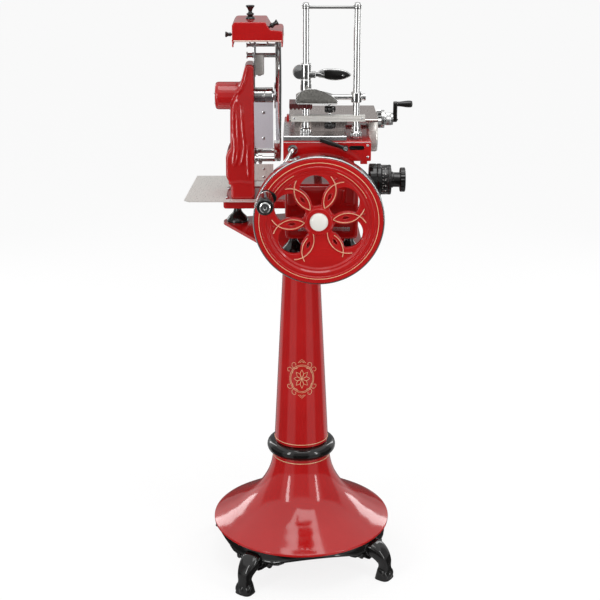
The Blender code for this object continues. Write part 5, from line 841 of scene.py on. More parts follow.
def crank_handle():
    x, _, z = WHEEL_AT
    along = Vector(polar(1, CRANK_TURN))
    at = Vector((x, 0, z)) + Vector((along.x, 0, along.y)) * CRANK_THROW
    seat_back = WHEEL_FRONT - 0.0003
    seat_front = seat_back - 0.006
    back = seat_front - 0.0003
    grip_front = back - GRIP_LENGTH
    stop = grip_front - 0.0003
    end = grip_front - 0.0043
    pin = [(0, seat_back), (0.0125, seat_back), (0.0125, seat_front), (0.0058, seat_front), (0.0058, stop),
            (0.0128, stop), (0.0128, end + 0.0015), (0.01, end), (0.0045, end), (0.004, end + 0.0012),
            (0, end + 0.0012)]
    piece("crank_pin_steel", lathe(fillet(pin, 0.0007, 3), "Y", at, 64), CHROME, "flywheel", ["crank_pin"])
    outer = smooth_line([(r, back - GRIP_LENGTH * share, 0) for r, share in (
            (0.0125, 0.06), (0.015, 0.14), (0.0176, 0.26), (0.0193, 0.48), (0.0205, 0.78), (0.0203, 0.9),
            (0.0192, 0.975))], 6)
    profile = [(0.0061, back), (0.0122, back), (0.0125, back - GRIP_LENGTH * 0.03), *[point[:2] for point in outer],
            (0.0172, grip_front), (0.0132, grip_front + 0.001), (0.0061, grip_front + 0.001)]
    piece("crank_grip_turned", lathe(profile, "Y", at, 72, ring=True), KNOB, "crank_grip", ["crank_grip"])
    ferrule = [(0.0123, back), (0.014, back), (0.0144, back - 0.004), (0.0137, back - 0.0075), (0.0124, back - 0.0078)]
    piece("crank_grip_ferrule", lathe(fillet(ferrule, 0.0007, 3, True), "Y", at, 64, ring=True), CHROME, "crank_grip")
    seat = capsule(along * 0.128, along * CRANK_THROW, 0.015, 20)
    piece("crank_seat_boss", plate([seat], 0.0034, "XZ", (x, WHEEL_FRONT - 0.0012, z), 0.0012), BLACK, "flywheel")


# ---------------------------------------------------------------- arm, blade and sharpener
SEAM = 0.0003
BLADE_Y, BLADE_Z, BLADE_RADIUS, BLADE_EDGE_X = 0.17, 1.253, 0.159, -0.0555
BLADE_AT = (0, BLADE_Y, BLADE_Z)
BLADE_TOP = BLADE_Z + BLADE_RADIUS
BLADE_DISH, BLADE_FACE, BLADE_BEVEL, SHAFT_BORE = 0.010, 0.007, 0.024, 0.0083
CLAMP_RADIUS, CLAMP_THICKNESS = 0.058, 0.0035
HOUSING_LEFT, HOUSING_RIGHT, HOUSING_RADIUS, HOUSING_GROOVE = -0.1295, -0.0745, 0.0218, 0.0205
GUARD_X, GUARD_GAP, GUARD_WIDTH, GUARD_ARM_REACH, GUARD_ARM_RADIUS = -0.0625, 0.0025, 0.0105, 0.052, 0.0068
GUARD_ARM_Z = BLADE_Z - sqrt((BLADE_RADIUS + GUARD_GAP + GUARD_WIDTH / 2) ** 2 - GUARD_ARM_REACH ** 2)
LATCH_X = -0.108
ARM_RIGHT, ARM_LOW, ARM_TOP = -0.1235, 0.9879, BLADE_TOP - 0.073
ARM_MIDDLE_Y, ARM_HALF_DEPTH, BOSS_LEFT = 0.172, 0.072, -0.2268
ARM_RIBS = (
    (0, ((-0.1765, 1.2235), (-0.1775, 1.1747), (-0.1738, 1.1257), (-0.179, 1.087), (-0.173, 1.082), (-0.1655, 1.1158),
        (-0.1663, 1.1747), (-0.168, 1.2235))),
    (0, ((-0.1655, 1.249), (-0.156, 1.23), (-0.153, 1.1747), (-0.149, 1.1306), (-0.156, 1.087), (-0.162, 1.081))),
    (0, ((-0.1395, 1.1306), (-0.14, 1.0911), (-0.1385, 1.0489))),
    (0, ((-0.1405, 1.334), (-0.145, 1.3047), (-0.158, 1.2761), (-0.168, 1.2655))),
    (-0.0008, ((-0.1262, 1.334), (-0.1262, 1.25), (-0.1262, 1.15), (-0.1262, 1.0))),
    (-0.0012, ((-0.193, 1.03), (-0.16, 1.033), (-0.128, 1.03))),
)
HOOD_LEFT, HOOD_RIGHT, HOOD_FRONT, HOOD_BACK = -0.1765, -0.047, 0.09, 0.25
HOOD_LOW, HOOD_TOP = BLADE_TOP - 0.01, BLADE_TOP + 0.04
STEP_X, STEP_RUN, STEP_DROP, HONE_SHARE = -0.0915, 0.012, 0.0195, 0.74
TOP_KNOB_X, SPINDLE_END, BLOCK_X = -0.132, -0.089, -0.1095


def arm_front(height):
    share = (height - ARM_LOW) / (ARM_TOP - ARM_LOW)
    return ARM_MIDDLE_Y - ARM_HALF_DEPTH * (1 - 0.4 * share)


def arm():
    meshes = [cad_copy("arm_casting")]
    for depth, line in ARM_RIBS:
        path = [(x, arm_front(z) + 0.0014 - depth, z) for x, z, _ in smooth_line([(*at, 0) for at in line], 6)]
        meshes.append(wire([path], 0.0036, fineness=2))
        meshes.append(wire([[(x, 2 * ARM_MIDDLE_Y - y, z) for x, y, z in path]], 0.0036, fineness=2))
    piece("arm_cast", cast(merge(*meshes), 0.0021, 5), RED, "pedestal", ["arm_casting"])
    left = BOSS_LEFT
    ring = fillet([(0.012, left), (0.025, left), (0.028, left + 0.0006), (0.028, left + 0.0013),
            (0.012, left + 0.0013)], 0.0004, 2)
    piece("boss_cover", lathe(ring, "X", (0, BLADE_Y, BLADE_Z), 64, ring=True), RED, "pedestal")
    screws = [(left, *at) for at in spots(0.0195, (30, 150, 270), (BLADE_Y, BLADE_Z))]
    screw_heads("boss_screw", screws, "X", 0.0032, 0.0018, "pedestal", STEEL, -1)
    bolts = [(-0.198, y, ARM_LOW - SEAM) for y in (0.124, 0.222)]
    screw_heads("arm_bolt", bolts, "Z", 0.0052, 0.0045, "pedestal", STEEL)


def blade():
    back, front = BLADE_EDGE_X - BLADE_DISH, BLADE_EDGE_X - BLADE_FACE
    inner = BLADE_RADIUS - BLADE_BEVEL
    profile = [(SHAFT_BORE, front), (inner - 0.014, front), (inner - 0.009, front + 0.0004), (inner, front + 0.003),
            (inner + 0.001, front + 0.0031), (BLADE_RADIUS, BLADE_EDGE_X),
            (BLADE_RADIUS - 0.0004, BLADE_EDGE_X - 0.0005), (inner, back), (SHAFT_BORE, back)]
    piece("blade_disc", lathe(profile, "X", BLADE_AT, 192, ring=True, angle=25), CHROME, "blade", ["blade"])
    face = front + SEAM
    end = face + CLAMP_THICKNESS
    clamp = fillet([(SHAFT_BORE, face), (CLAMP_RADIUS, face), (CLAMP_RADIUS, end - 0.001), (CLAMP_RADIUS - 0.0015, end),
            (0.046, end), (0.045, end - 0.0008), (0.02, end - 0.0008), (0.019, end), (SHAFT_BORE, end)], 0.0004, 2)
    piece("blade_clamp_disc", lathe(clamp, "X", BLADE_AT, 96, ring=True), LATHED, "blade", ["blade_clamp_plate"])
    places = [(end - 0.0008, *at) for at in spots(0.033, (45, 135, 225, 315), BLADE_AT[1:])]
    screw_heads("blade_screw", places, "X", 0.0045, 0.002, "blade", STEEL)

    ridged = [(SHAFT_BORE, HOUSING_LEFT), (HOUSING_GROOVE, HOUSING_LEFT)]
    for i in range(6):
        x = HOUSING_LEFT + 0.007 + i * 0.0042
        ridged += [(HOUSING_RADIUS, x), (HOUSING_RADIUS, x + 0.0026), (HOUSING_GROOVE, x + 0.003),
                (HOUSING_GROOVE, x + 0.004)]
    ridged += [(HOUSING_RADIUS, -0.0965), (HOUSING_RADIUS, HOUSING_RIGHT - 0.004), (0.0208, HOUSING_RIGHT),
            (SHAFT_BORE, HOUSING_RIGHT)]
    piece("bearing_sleeve", lathe(fillet(ridged, 0.0003, 2), "X", BLADE_AT, 96, ring=True), CHROME, "pedestal",
            ["blade_bearing_housing"])

    inner, outer = BLADE_RADIUS + GUARD_GAP, BLADE_RADIUS + GUARD_GAP + GUARD_WIDTH
    start, end = pi + radians(35), pi + radians(234)
    outline = arc(BLADE_AT[1:], outer, start, end, 90) + arc(BLADE_AT[1:], inner, end, start, 90)
    guard = plate([outline], 0.016, "YZ", (GUARD_X, 0, 0), 0.0022)
    foot = ARM_RIGHT + SEAM
    places = [(0, BLADE_Y + side * GUARD_ARM_REACH, GUARD_ARM_Z) for side in (-1, 1)]
    bar = fillet([(0, foot), (GUARD_ARM_RADIUS, foot), (GUARD_ARM_RADIUS, -0.07), (0, -0.0637)], 0.001, 3)
    collar = fillet([(0.0069, foot + 0.0001), (0.0094, foot + 0.0001), (0.0094, foot + 0.0057),
            (0.0069, foot + 0.0057)], 0.001, 3, True)
    piece("guard_ring", merge(guard, *[lathe(bar, "X", at, 40) for at in places],
            *[lathe(collar, "X", at, 40, ring=True) for at in places]), CHROME, "pedestal", ["blade_guard"])
    for name, y, heights, radius in (("cover", 0.116, (0.0554, 0.1234), 0.0042),
            ("deflector", 0.1, (-0.0226, -0.0446), 0.0036)):
        places = [(LATCH_X + 0.0095, y, GUARD_ARM_Z + height) for height in heights]
        screw_heads(f"{name}_screw", places, "Y", radius, 0.0016, "pedestal", STEEL, -1)

    at = (LATCH_X, BLADE_Y - GUARD_ARM_REACH, GUARD_ARM_Z)
    half, reach = 0.005, 0.0105
    ring = [(0.0071, -half), (reach, -half), (reach, -0.0015), (0.0098, -0.001), (0.0098, 0.001), (reach, 0.0015),
            (reach, half), (0.0071, half)]
    piece("latch_ring", lathe(fillet(ring, 0.0006, 3), "X", at, 64, ring=True), CHROME, "guard_latch", ["guard_latch"])
    stem = [(0, -0.0333), (0.0032, -0.0325), (0.0054, -0.03), (0.0062, -0.027), (0.0054, -0.0235), (0.003, -0.0212),
            (0.0023, -0.02), (0.0023, -0.015), (0.0032, -0.0135), (0.0032, -0.0105), (0.0023, -0.0095), (0, -0.0095)]
    piece("latch_stem", lathe(stem, "Z", at, 48, angle=50), CHROME, "guard_latch")


def spool(name, places, at, tilt, body, node):
    """A turned knob along Z, leaned to the right by tilt."""
    mesh = lathe(places, "Z", (0, 0, 0), 56, angle=50)
    mesh.transform(Matrix.Translation(at) @ Matrix.Rotation(radians(tilt), 4, "Y"))
    piece(name, mesh, KNOB, body, [node])


def sharpener():
    piece("hood_shell", cast(cad_copy("sharpener_hood"), 0.0013, 4), RED, "sharpener", ["sharpener_hood"])
    height, inset, proud = HOOD_LOW + 0.003, 0.004, 0.0001
    lines = [[(HOOD_LEFT + inset, y, height), (HOOD_RIGHT - inset, y, height)]
            for y in (HOOD_FRONT - proud, HOOD_BACK + proud)]
    lines += [[(x, HOOD_FRONT + inset, height), (x, HOOD_BACK - inset, height)]
            for x in (HOOD_LEFT - proud, HOOD_RIGHT + proud)]
    piece("hood_line", wire(lines, 0.0013), WHITE_LINE, "sharpener")

    top = [(0, 0.034), (0.0095, 0.034), (0.0112, 0.0335), (0.0116, 0.0325), (0.0112, 0.031), (0.0084, 0.0272),
            (0.0062, 0.0235), (0.005, 0.02), (0.005, 0.0165), (0.0062, 0.015), (0.0096, 0.0134), (0.0102, 0.012),
            (0.0096, 0.0106), (0.0072, 0.0086), (0.0068, 0.0072), (0.0088, 0.0052), (0.012, 0.003), (0.0128, 0.0015),
            (0.0128, 0), (0.003, 0), (0.003, -0.0044), (0, -0.0044)]
    piece("top_knob_turned", lathe(top, "Z", (TOP_KNOB_X, BLADE_Y, HOOD_TOP + SEAM), 64, angle=50), KNOB, "top_knob",
            ["hood_top_knob"])
    left = HOOD_LEFT - SEAM - 0.006
    side = [(0, left - 0.015), (0.006, left - 0.015), (0.007, left - 0.0144), (0.0072, left - 0.0125),
            (0.0066, left - 0.011), (0.0048, left - 0.008), (0.0044, left - 0.005), (0.005, left - 0.002),
            (0.0046, left), (0.003, left), (0.003, SPINDLE_END), (0, SPINDLE_END)]
    piece("side_knob_turned", lathe(side, "X", (0, BLADE_Y, BLADE_TOP), 56, angle=50), KNOB, "grinder",
            ["hood_left_knob"])
    length, stand = 0.021, 0.005
    end = length + stand
    hone = [(0, end), (0.0068, end), (0.0078, end - 0.001), (0.0076, end - 0.0028), (0.0052, stand + length * 0.66),
            (0.0047, stand + length * 0.5), (0.0052, stand + length * 0.36), (0.0066, stand + length * 0.22),
            (0.0066, stand + length * 0.1), (0.0058, stand), (0.003, stand), (0.003, -0.0044), (0, -0.0044)]
    at = Vector((STEP_X + STEP_RUN * HONE_SHARE, HOOD_FRONT + (HOOD_BACK - HOOD_FRONT) * 0.12,
            HOOD_TOP - STEP_DROP * HONE_SHARE))
    spool("hone_knob_turned", hone, at, 60, "hone_knob", "hood_right_knob")

    rods = []
    for height, radius, end in ((BLADE_TOP - 0.0275, 0.004, -0.069), (BLADE_TOP - 0.0535, 0.0058, -0.0675)):
        head, bead = radius * 1.5, radius * 1.3
        rod = [(0, -0.143), (head, -0.143), (head, -0.1405), (radius, -0.14), (radius, -0.128), (bead, -0.1275),
                (bead, -0.1245), (radius, -0.124), (radius, end), (0, end)]
        rods.append(lathe(fillet(rod, 0.0005, 2), "X", (0, BLADE_Y, height), 48))
    block = slab((BLOCK_X - 0.012, BLADE_Y - 0.0115, BLADE_TOP - 0.104),
            (BLOCK_X + 0.012, BLADE_Y + 0.0115, BLADE_TOP - 0.049), 0.004, 4)
    tip, seat = BLADE_TOP - 0.107, BLADE_TOP - 0.1035
    nozzle = lathe([(0, tip), (0.004, tip), (0.0062, seat), (0, seat)], "Z", (BLOCK_X, BLADE_Y, 0), 40)
    piece("felt_holder", merge(block, nozzle), PALE, "sharpener")
    piece("sharpener_rods", merge(*rods), CHROME, "sharpener")
    post = slab((ARM_RIGHT + SEAM, BLADE_Y - 0.03, BLADE_TOP - 0.106),
            (ARM_RIGHT + SEAM + 0.004, BLADE_Y + 0.03, HOOD_TOP - 0.0025), 0.0008, 2)
    piece("sharpener_post", post, STEEL, "sharpener", ["sharpener_frame"], weighted=True)
    low = HOOD_LOW - 0.0085
    springs = []
    for x in (-0.135, -0.09):
        path = [(x, 0.118, HOOD_LOW + 0.004), (x + 0.004, 0.118, HOOD_LOW - 0.006), (x + 0.012, 0.12, low),
                (x + 0.026, 0.121, low)]
        springs.append(wire([smooth_line(path, 6)], 0.0018))
    piece("hood_springs", merge(*springs), CHROME, "sharpener")
    stone = [(0.0031, -0.0888), (0.0145, -0.0888), (0.0145, -0.0728), (0.0031, -0.0728)]
    piece("stone_wheel", lathe(fillet(stone, 0.0008, 3), "X", (0, BLADE_Y, BLADE_TOP), 72, ring=True), STONE, "grinder",
            ["grinding_stone"])


# ---------------------------------------------------------------- machine base
BASE_FRONT = -0.205


def base_details():
    piece("base_cast", cast(cad_copy("machine_base"), 0.0026, 3), RED, "pedestal", ["machine_base"])
    front = BASE_FRONT
    strip = slab((-0.0084, front - 0.0022, 0.9867), (0.1177, front + 0.002, 0.9968), 0.0008, 2)
    piece("base_plate_bare", strip, STEEL, "pedestal", weighted=True)
    ribs = [[(0.116 - 0.02 * k, front + 0.0012, z) for z in (1.086, 1.05)] for k in range(3)]
    piece("base_ribs", wire(ribs, 0.0028), RED, "pedestal")
    screws = [(x, front - 0.0022, 0.9918) for x in (-0.0035, 0.1128)]
    screw_heads("base_plate_screw", screws, "Y", 0.0026, 0.0014, "pedestal", STEEL, -1)
    cap = fillet([(0, 0), (0.0082, 0), (0.0082, 0.0022), (0.006, 0.004), (0, 0.0046)], 0.0006, 3)
    for name, x in (("left", -0.022), ("right", 0.115)):
        mesh = lathe([(r, -h) for r, h in cap], "Y", (x, -0.231, 1.15), 48)
        piece(f"rod_cap_{name}", mesh, CHROME, "pedestal")


# ---------------------------------------------------------------- carriage and feed
CARRIAGE_FRONT = -0.2
PORT_AT = (-0.021, 0, 1.186)
LEVER_PIVOT, LEVER_RISE = Vector((0.1045, 0, 1.191)), radians(160.5)
LEVER_GIRTH = ((0.0056, 0.0), (0.004, 0.3), (0.0046, 0.45), (0.0058, 0.72), (0.0054, 0.95))
FEED_AT = (0, 0.03, 1.217)
END_DISC_LEFT, RATCHET_RADIUS, RATCHET_TOOTH = 0.1663, 0.0205, 0.0022
SCREW_RADIUS, SCREW_END, LEAD = 0.0055, -0.034, 0.005


def carriage():
    front = CARRIAGE_FRONT
    slot = capsule((0.119, 1.19), (0.1445, 1.19), 0.0054, 16)
    piece("slot_liner", plate([slot], 0.0012, "XZ", (0, front + 0.0058, 0), 0.0003), BLACK, "carriage")
    rim = [(0.0122, front + 0.0005), (0.0146, front + 0.0005), (0.0146, front - 0.0012), (0.0122, front - 0.0012)]
    piece("port_rim", lathe(fillet(rim, 0.0005, 3, True), "Y", PORT_AT, 64, ring=True), RED, "carriage")

    x, _, z = PORT_AT
    line = [(x, front + 0.0134, z), (x, front - 0.003, z), (-0.0235, front - 0.0095, 1.1815),
            (-0.03, front - 0.012, 1.168), (-0.04, front - 0.0126, 1.153), (-0.048, front - 0.013, 1.14)]
    bar = wire([smooth_line(line, 8)], 0.0062, fineness=7)
    knob = lathe([(0, -0.004), (0.005, -0.004), (0.0074, -0.0015), (0.0078, 0.002), (0.0064, 0.006), (0, 0.006)], "Z",
            (0, 0, 0), 40, angle=60)
    knob.transform(Matrix.Translation((-0.0478, front - 0.013, 1.1405)) @ Matrix.Rotation(radians(32), 4, "Y"))
    foot = lathe([(0, front + 0.0084), (0.0117, front + 0.0084), (0.0117, front + 0.0137), (0, front + 0.0137)], "Y",
            PORT_AT, 48)
    piece("pull_rod_bent", merge(bar, knob, foot), CHROME, "carriage", ["carriage_pull_rod"])
    release_lever()

    edge = [(-0.043, front - 0.0001, 1.203), (0.1655, front - 0.0001, 1.203)]
    piece("carriage_edge", wire([edge], 0.0006), CHROME, "carriage")
    side_screws = [(0.158, front, z) for z in (1.168, 1.196)]
    screw_heads("carriage_screw", side_screws, "Y", 0.0028, 0.0014, "carriage", STEEL, -1)
    top_screws = [(x, -0.185, 1.2183) for x in (-0.034, 0.099)]
    screw_heads("top_plate_screw", top_screws, "Z", 0.0034, 0.0014, "carriage", STEEL)


def release_lever():
    """A cranked black handle on a chrome pin."""
    back = CARRIAGE_FRONT - 0.0042
    path = [(LEVER_PIVOT.x + cos(LEVER_RISE) * t, back - d, LEVER_PIVOT.z + sin(LEVER_RISE) * t)
            for t, d in ((0.0, 0.0045), (0.012, 0.005), (0.024, 0.0055), (0.044, 0.0058), (0.064, 0.0052))]
    line = smooth_line(path, 8)
    stations = []
    for i, at in enumerate(line):
        radius = girth_at(LEVER_GIRTH, i / (len(line) - 1))
        stations.append((at, radius * 0.78, radius))
    eye = fillet([(0, back), (0.0072, back), (0.0072, back - 0.009), (0, back - 0.009)], 0.001, 3)
    piece("release_handle", merge(swept(stations), lathe(eye, "Y", LEVER_PIVOT, 48)), KNOB, "table_release_lever",
            ["table_release_lever"])
    pin = [(0, CARRIAGE_FRONT + 0.007), (0.004, CARRIAGE_FRONT + 0.007), (0.004, back - 0.0092),
            (0.0054, back - 0.0092), (0.005, back - 0.0112), (0, back - 0.0116)]
    piece("release_pin", lathe(fillet(pin, 0.0004, 2), "Y", LEVER_PIVOT, 48), CHROME, "table_release_lever")


def girth_at(girth, share):
    """Radius at a share of the length, from pairs of radius and share."""
    for (first, low), (last, high) in zip(girth, girth[1:]):
        if low <= share <= high + 1e-06:
            return first + (last - first) * (share - low) / (high - low)
    return girth[-1][0]


def feed():
    left = END_DISC_LEFT
    disc = [(0, left), (0.038, left), (0.04, left + 0.002), (0.04, left + 0.02), (0.038, left + 0.024),
            (0.03, left + 0.024), (0.0285, left + 0.0225), (0, left + 0.0225)]
    piece("end_disc_turned", lathe(fillet(disc, 0.0012, 4), "X", (0, -0.015, 1.1835), 112), CREAM, "carriage",
            ["feed_end_disc"])
    boss = [(0.0058, left), (0.0185, left), (0.0185, left + 0.0228), (0.0172, left + 0.024), (0.0058, left + 0.024)]
    piece("end_disc_boss", lathe(fillet(boss, 0.001, 3), "X", FEED_AT, 72, ring=True), CREAM, "carriage")

    _, y, z = FEED_AT
    shaft_left = left + 0.0243
    teeth = (RATCHET_TOOTH, -RATCHET_TOOTH, 0.0)
    ratchet = [polar(RATCHET_RADIUS + teeth[k % 3], TAU * k / 42) for k in range(42)]
    wheel = plate([[(a + y, b + z) for a, b in ratchet]], 0.0104, "YZ", (shaft_left + 0.006, 0, 0), 0.0004)
    hub = shaft_left + 0.02
    end = hub + 0.022
    shaft = [(0, end), (0.0145, end), (0.0153, end - 0.0008), (0.0153, hub), (0.0225, hub), (0.0225, hub - 0.008),
            (0.0143, hub - 0.008), (0.0143, shaft_left), (SCREW_RADIUS, shaft_left), (SCREW_RADIUS, SCREW_END),
            (0, SCREW_END)]
    piece("feed_shaft_turned", merge(lathe(fillet(shaft, 0.0007, 3), "X", FEED_AT, 72), wheel), CHROME, "feed_screw",
            ["feed_screw"])
    thread = [(SCREW_END + 0.014 + LEAD * i / 14, *polar(SCREW_RADIUS - 0.0002, TAU * i / 14, (y, z)))
            for i in range(int(14 * 0.18 / LEAD))]
    piece("feed_thread", wire([thread], 0.0008, fineness=1), STEEL, "feed_screw")
    knurl = [(0.0151, hub + 0.004), (0.016, hub + 0.0045), (0.016, hub + 0.0165), (0.0151, hub + 0.017)]
    piece("hub_knurl", lathe(knurl, "X", FEED_AT, 240, ring=True, scallops=40, depth=0.0006,
            zone=(hub + 0.0042, hub + 0.0168)), CHROME, "feed_screw")

    arm = end + SEAM
    tip = (y, z + 0.038)
    piece("feed_arm", plate([taper((y, z), 0.008, tip, 0.0066)], 0.01, "YZ", (arm + 0.005, 0, 0), 0.0018), KNOB,
            "feed_screw", ["feed_crank"])
    screw_heads("feed_arm_screw", [(arm + 0.01, y, z)], "X", 0.0048, 0.0022, "feed_screw", CHROME)
    grip = arm + 0.0103
    end = grip + 0.038
    bulge = smooth_line([(0.0062, grip, 0), (0.006, grip + 0.004, 0), (0.0068, grip + 0.012, 0),
            (0.0082, grip + 0.022, 0), (0.0087, grip + 0.031, 0), (0.0078, grip + 0.036, 0),
            (0.0052, grip + 0.0378, 0), (0.0001, end, 0)], 6)
    profile = [(0.0035, grip), *[point[:2] for point in bulge[:-1]], (0, end), (0, grip + 0.03), (0.0035, grip + 0.03)]
    piece("feed_grip_turned", lathe(profile, "X", (0, *tip), 64, angle=60, ring=True), KNOB, "feed_grip", ["feed_grip"])
    pin = [(0, arm + 0.005), (0.0032, arm + 0.005), (0.0032, grip + 0.0296), (0, grip + 0.0296)]
    piece("feed_grip_pin", lathe(pin, "X", (0, *tip), 32), CHROME, "feed_screw")


def swept(stations, steps=28):
    """A closed tube along a line; each station gives its place, its depth along Y and its half height."""
    shape = bmesh.new()
    rings = []
    side = Vector((0, 1, 0))
    for i, (at, deep, high) in enumerate(stations):
        ahead = Vector(stations[min(i + 1, len(stations) - 1)][0]) - Vector(stations[max(i - 1, 0)][0])
        up = ahead.cross(side).normalized()
        circle = (polar(1, TAU * k / steps) for k in range(steps))
        rings.append([shape.verts.new(Vector(at) + side * deep * c + up * high * s) for c, s in circle])
    skin(shape, rings)
    for ring in (rings[0], rings[-1]):
        tip = shape.verts.new(sum((v.co for v in ring), Vector()) / steps)
        for k in range(steps):
            shape.faces.new((ring[k], ring[(k + 1) % steps], tip))
    return finish_mesh(shape, 50)


# ---------------------------------------------------------------- meat table and press
ROD_Y, LEFT_ROD_X, RIGHT_ROD_X, ROD_TOP = -0.17, 0.0106, 0.1304, 1.5125
RAIL_FRONT, RAIL_BACK, RAIL_LOW, RAIL_TOP = -0.181, -0.159, 1.2495, 1.264
STAR_X, STAR_RADIUS = 0.0675, 0.0142
PRESS_PIVOT, PRESS_LOW, SLIDE_BORE = (0.029, 1.36), 1.2945, 0.0084
LEAF_SHARES = ((0.08, 0.28), (0.2, 0.44), (0.36, 0.52), (0.55, 0.5), (0.74, 0.42), (0.9, 0.25), (0.985, 0.06),
        (1.0, -0.04), (0.95, -0.2), (0.8, -0.4), (0.6, -0.5), (0.4, -0.46), (0.22, -0.3), (0.08, -0.2))
FIN_SHARES = ((0.0, 0.0), (1.0, 0.0), (1.0, 0.22), (0.86, 0.52), (0.68, 0.82), (0.46, 1.0), (0.28, 1.0), (0.12, 0.82),
        (0.0, 0.4))


def meat_table():
    """Front rail, the two press rods with their crossbar, and the rail clamp."""
    left, right = RAIL_FRONT, RAIL_BACK
    rail = [(left, RAIL_LOW), (left, 1.2525), (left + 0.0013, 1.2529), (left + 0.0013, 1.2543), (left, 1.2547),
            (left, 1.26), (left + 0.001, 1.2604), (left + 0.001, 1.2616), (left, 1.262), (left, RAIL_TOP),
            (right, RAIL_TOP), (right, RAIL_LOW)]
    piece("rail_profile", plate([fillet(rail, 0.0003, 2, True)], 0.1763, "YZ", ((-0.0248 + 0.1515) / 2, 0, 0),
            0.0003), CREAM, "meat_table", ["table_front_rail"])
    screws = [(x, left, 1.2572) for x in (-0.017, 0.1435)]
    screw_heads("rail_screw", screws, "Y", 0.0026, 0.0012, "meat_table", STEEL, -1)
    for side, x, low in (("left", LEFT_ROD_X, 1.2186), ("right", RIGHT_ROD_X, 1.2095)):
        profile = [(0, ROD_TOP), (0.008, ROD_TOP), (0.008, low + 0.029), (0.0101, low + 0.029), (0.0101, low + 0.016),
                (0.0135, low + 0.013), (0.0135, low), (0, low)]
        piece(f"press_rod_{side}_bar", lathe(fillet(profile, 0.0008, 3), "Z", (x, ROD_Y, 0), 64), CHROME, "meat_table",
                [f"press_rod_{side}"])
        knurl = [(0.0132, low + 0.0015), (0.0138, low + 0.002), (0.0138, low + 0.011), (0.0132, low + 0.0115)]
        piece(f"rod_knurl_{side}", lathe(knurl, "Z", (x, ROD_Y, 0), 216, ring=True, scallops=36, depth=0.0007,
                zone=(low + 0.0018, low + 0.0112)), CHROME, "meat_table")

    low = ROD_TOP + SEAM
    outline = (arc((LEFT_ROD_X, ROD_Y), 0.0095, radians(40), radians(320), 32)
            + arc((RIGHT_ROD_X, ROD_Y), 0.0095, radians(-140), radians(140), 32))
    acorn = [(0, 0.0055), (0.0094, 0.0055), (0.0098, 0.0062), (0.0098, 0.008), (0.0088, 0.0086), (0.0086, 0.0098),
            (0.0078, 0.0118), (0.006, 0.0134), (0.0032, 0.0143), (0, 0.0145)]
    acorns = [lathe([(r, low + h) for r, h in acorn], "Z", (x, ROD_Y, 0), 56, angle=50) for x in (LEFT_ROD_X,
            RIGHT_ROD_X)]
    bar = plate([outline], 0.0055, "XY", (0, 0, low + 0.00275), 0.0008)
    piece("crossbar_forged", merge(bar, *acorns), CHROME, "meat_table", ["press_crossbar"])

    star = []
    for k in range(100):
        turn = TAU * k / 100
        star.append(polar(STAR_RADIUS * (1 - 0.17 * (0.5 - 0.5 * cos(5 * turn)) ** 1.4), turn))
    high, low = RAIL_TOP + 0.0065, RAIL_LOW - 0.003
    knobs = [plate([star], 0.015, "XY", (STAR_X, ROD_Y, z), 0.0042) for z in (high + 0.0075, low - 0.0075)]
    piece("star_knobs", merge(*knobs), KNOB, "rail_clamp_screw", ["rail_clamp_screw"])
    stem = [(0, low - 0.012), (0.004, low - 0.012), (0.004, high + 0.0155), (0.0046, high + 0.0155),
            (0.0042, high + 0.0172), (0, high + 0.0176)]
    piece("star_stem", lathe(stem, "Z", (STAR_X, ROD_Y, 0), 40), CHROME, "rail_clamp_screw")


